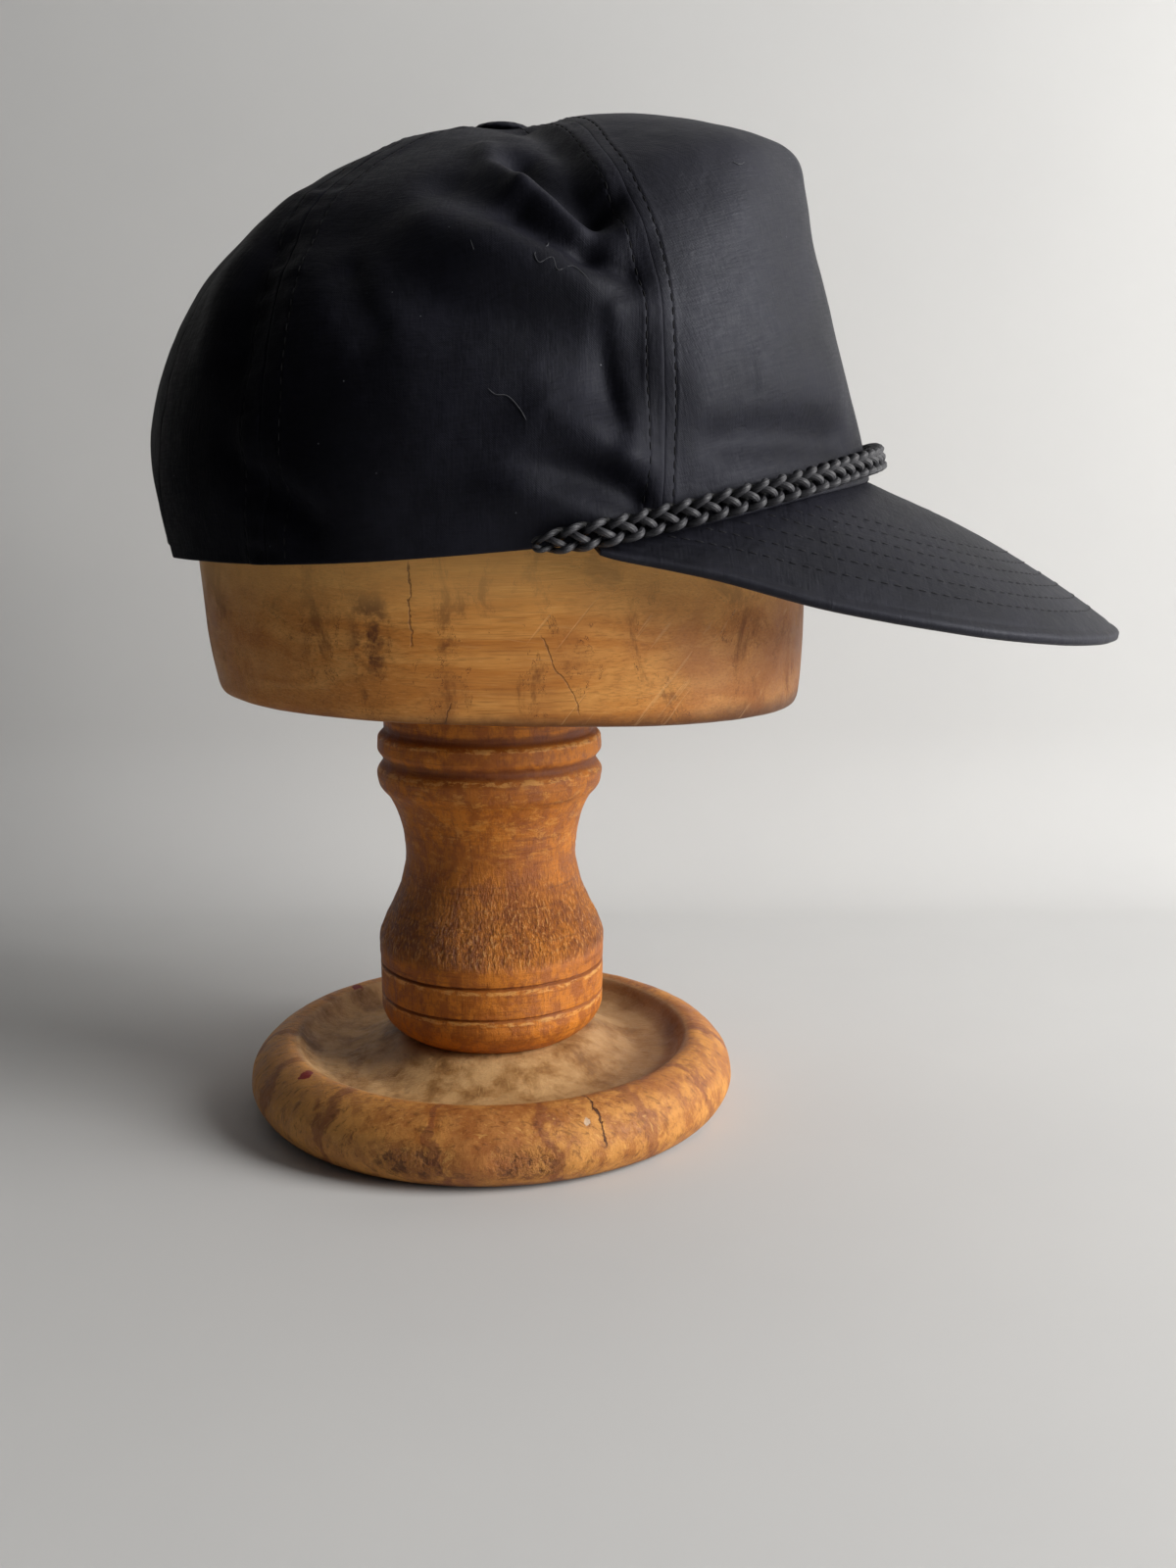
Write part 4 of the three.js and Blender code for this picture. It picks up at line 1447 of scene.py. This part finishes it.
def sloped(height, y):
    """Height of a block point, where the underside is cut out of level."""
    return height + BLOCK_SLOPE * y * (1 - ease(height, BLOCK_RINGS[0][0], BLOCK_SLOPE_TOP))


def build_block(material):
    rings = refined(BLOCK_RINGS, 1.5)
    angle = np.arange(400) * 2 * math.pi / 400
    power = 2 / BLOCK_POWER
    c, s = np.cos(angle), np.sin(angle)
    x = np.sign(c) * np.abs(c) ** power * rings[:, 2:3]
    y = np.sign(s) * np.abs(s) ** power * rings[:, 1:2] - rings[:, 3:4]
    grid = np.stack([x, y, sloped(rings[:, :1], y)], -1)
    outward = unit(grid - np.array(BLOCK_HEART))
    grid = grid + outward * uneven(grid, BLOCK_WAVES)[..., None]
    points, faces = closed_rings(grid)
    piece("hat_block", points, faces, material, ["hat_block"])


def build_column(material):
    grid = turned_points(refined(COLUMN_PROFILE, 0.5), 320)
    height = grid[..., 2]
    torn = np.clip((TORN_TOP - height) / 12, 0, 1) * np.clip((height - TORN_FOOT) / 3, 0, 1)
    tears = noise(grid * np.array([1, 1, 0.4]), 1.1, 21) + 0.5 * noise(grid, 2.5, 22)
    relief = uneven(grid, COLUMN_WAVES) - COLUMN_TEARS * torn * np.clip(tears, 0, 1)
    relief += uneven(grid * np.array([0.15, 0.15, 1]), COLUMN_LATHE_MARKS)
    grid = grid + unit(grid * FLAT) * relief[..., None]
    points, faces = closed_rings(grid)
    piece("stand_column", points, faces, material, ["stand_column"])


def build_base(material):
    grid = turned_points(refined(BASE_PROFILE, 0.8), 420)
    # Wear moves a point outward and up, but not at the foot.
    outward = (unit(grid * FLAT) + np.array([0, 0, 1])) * 0.6
    lifted = np.clip(grid[..., 2] / 3, 0, 1)
    rough = np.clip(noise(grid, 13, 33), 0, 1) * np.clip(noise(grid, 1.4, 34), 0, 1)
    wear = uneven(grid, BASE_WAVES) - BASE_TEARS * rough
    grid = grid + outward * (wear * lifted)[..., None]
    points, faces = closed_rings(grid)
    piece("stand_base", points, faces, material, ["stand_base"])


# ---- room, lights and camera


ROOM_REACH = 1600
WALL_PLACE = 190  # where the floor starts to bend up
WALL_BEND = 70
WALL_TOP = 1800


def backdrop():
    """A pale floor that curves up into a pale wall behind the stand."""
    g = Graph("backdrop")
    base = g.mix(g.noise(g.place(), 160, 4), (202, 202, 202), (212, 212, 211))
    material = g.finish(Base_Color=base, Roughness=0.85, Specular_IOR_Level=0.15)
    turn = np.linspace(0, math.pi / 2, 24)
    x = np.r_[-ROOM_REACH, WALL_PLACE + WALL_BEND * np.sin(turn), WALL_PLACE + WALL_BEND]
    z = np.r_[0, WALL_BEND * (1 - np.cos(turn)), WALL_TOP]
    points = [np.stack([x, np.full_like(x, y), z], -1) for y in (-ROOM_REACH, ROOM_REACH)]
    count = len(x)
    faces = [(i, i + 1, i + 1 + count, i + count) for i in range(count - 1)]
    mesh_object("backdrop", np.concatenate(points), faces, material)


LIGHTS = [
    # name, place and target in metres, size, power in watts, tint
    ("window", (-0.45, -1.23, 0.62), (0, 0, 0.17), (0.65, 1), 31, (1, 0.985, 0.96)),
    ("ceiling", (0.1, -0.5, 1.7), (0, 0, 0.2), (1.2, 1.2), 1.5, (1, 1, 1)),
]
SKY = (0.72, 0.76, 0.82, 1)
SKY_STRENGTH = 0.045


def lights():
    for name, place, target, size, power, tint in LIGHTS:
        data = bpy.data.lights.new(name, "AREA")
        data.shape = "RECTANGLE"
        data.size, data.size_y = size
        data.energy = power
        data.color = tint
        aim(name, data, place, Vector(target) - Vector(place))
    world = bpy.data.worlds.new("world")
    world.use_nodes = True
    background = world.node_tree.nodes["Background"]
    background.inputs["Color"].default_value = SKY
    background.inputs["Strength"].default_value = SKY_STRENGTH
    bpy.context.scene.world = world


def aim(name, data, place, direction):
    """A new light or camera at a place, turned to look along a direction."""
    made = bpy.data.objects.new(name, data)
    made.location = place
    made.rotation_euler = direction.to_track_quat("-Z", "Y").to_euler()
    bpy.context.scene.collection.objects.link(made)
    return made


CAMERA_PLACE = (-0.462, -0.0183, 0.191)
CAMERA_PITCH = 0.202
CAMERA_YAW = 0.023
CAMERA_LENS = 36.63
CAMERA_SENSOR = 36


def camera():
    data = bpy.data.cameras.new("camera")
    data.lens = CAMERA_LENS
    data.sensor_width = CAMERA_SENSOR
    data.clip_start = 0.01
    forward = Vector((
        math.cos(CAMERA_PITCH) * math.cos(CAMERA_YAW),
        -math.cos(CAMERA_PITCH) * math.sin(CAMERA_YAW),
        -math.sin(CAMERA_PITCH),
    ))
    bpy.context.scene.camera = aim("camera", data, CAMERA_PLACE, forward)


# ---- the scene

bpy.context.scene.view_settings.view_transform = "Standard"

side_cloth = poplin("poplin_soft", 0.6, 0.18, 0.85)
front_cloth = poplin("poplin_backed", 0.58, 0.28, 0.55)
sewing = thread("thread", (6, 6, 8), (15, 15, 19), 0.2)
peak_sewing = thread("peak_thread", (17, 17, 21), (31, 31, 37), 0.3)

build_crown(side_cloth, front_cloth, sewing)
build_lint(loose_thread())
build_button(side_cloth)
build_strap(side_cloth, sewing)
build_peak(front_cloth, peak_sewing)
build_rope(braid())
build_block(block_wood())
build_column(column_wood())
build_base(base_wood())
backdrop()
lights()
camera()
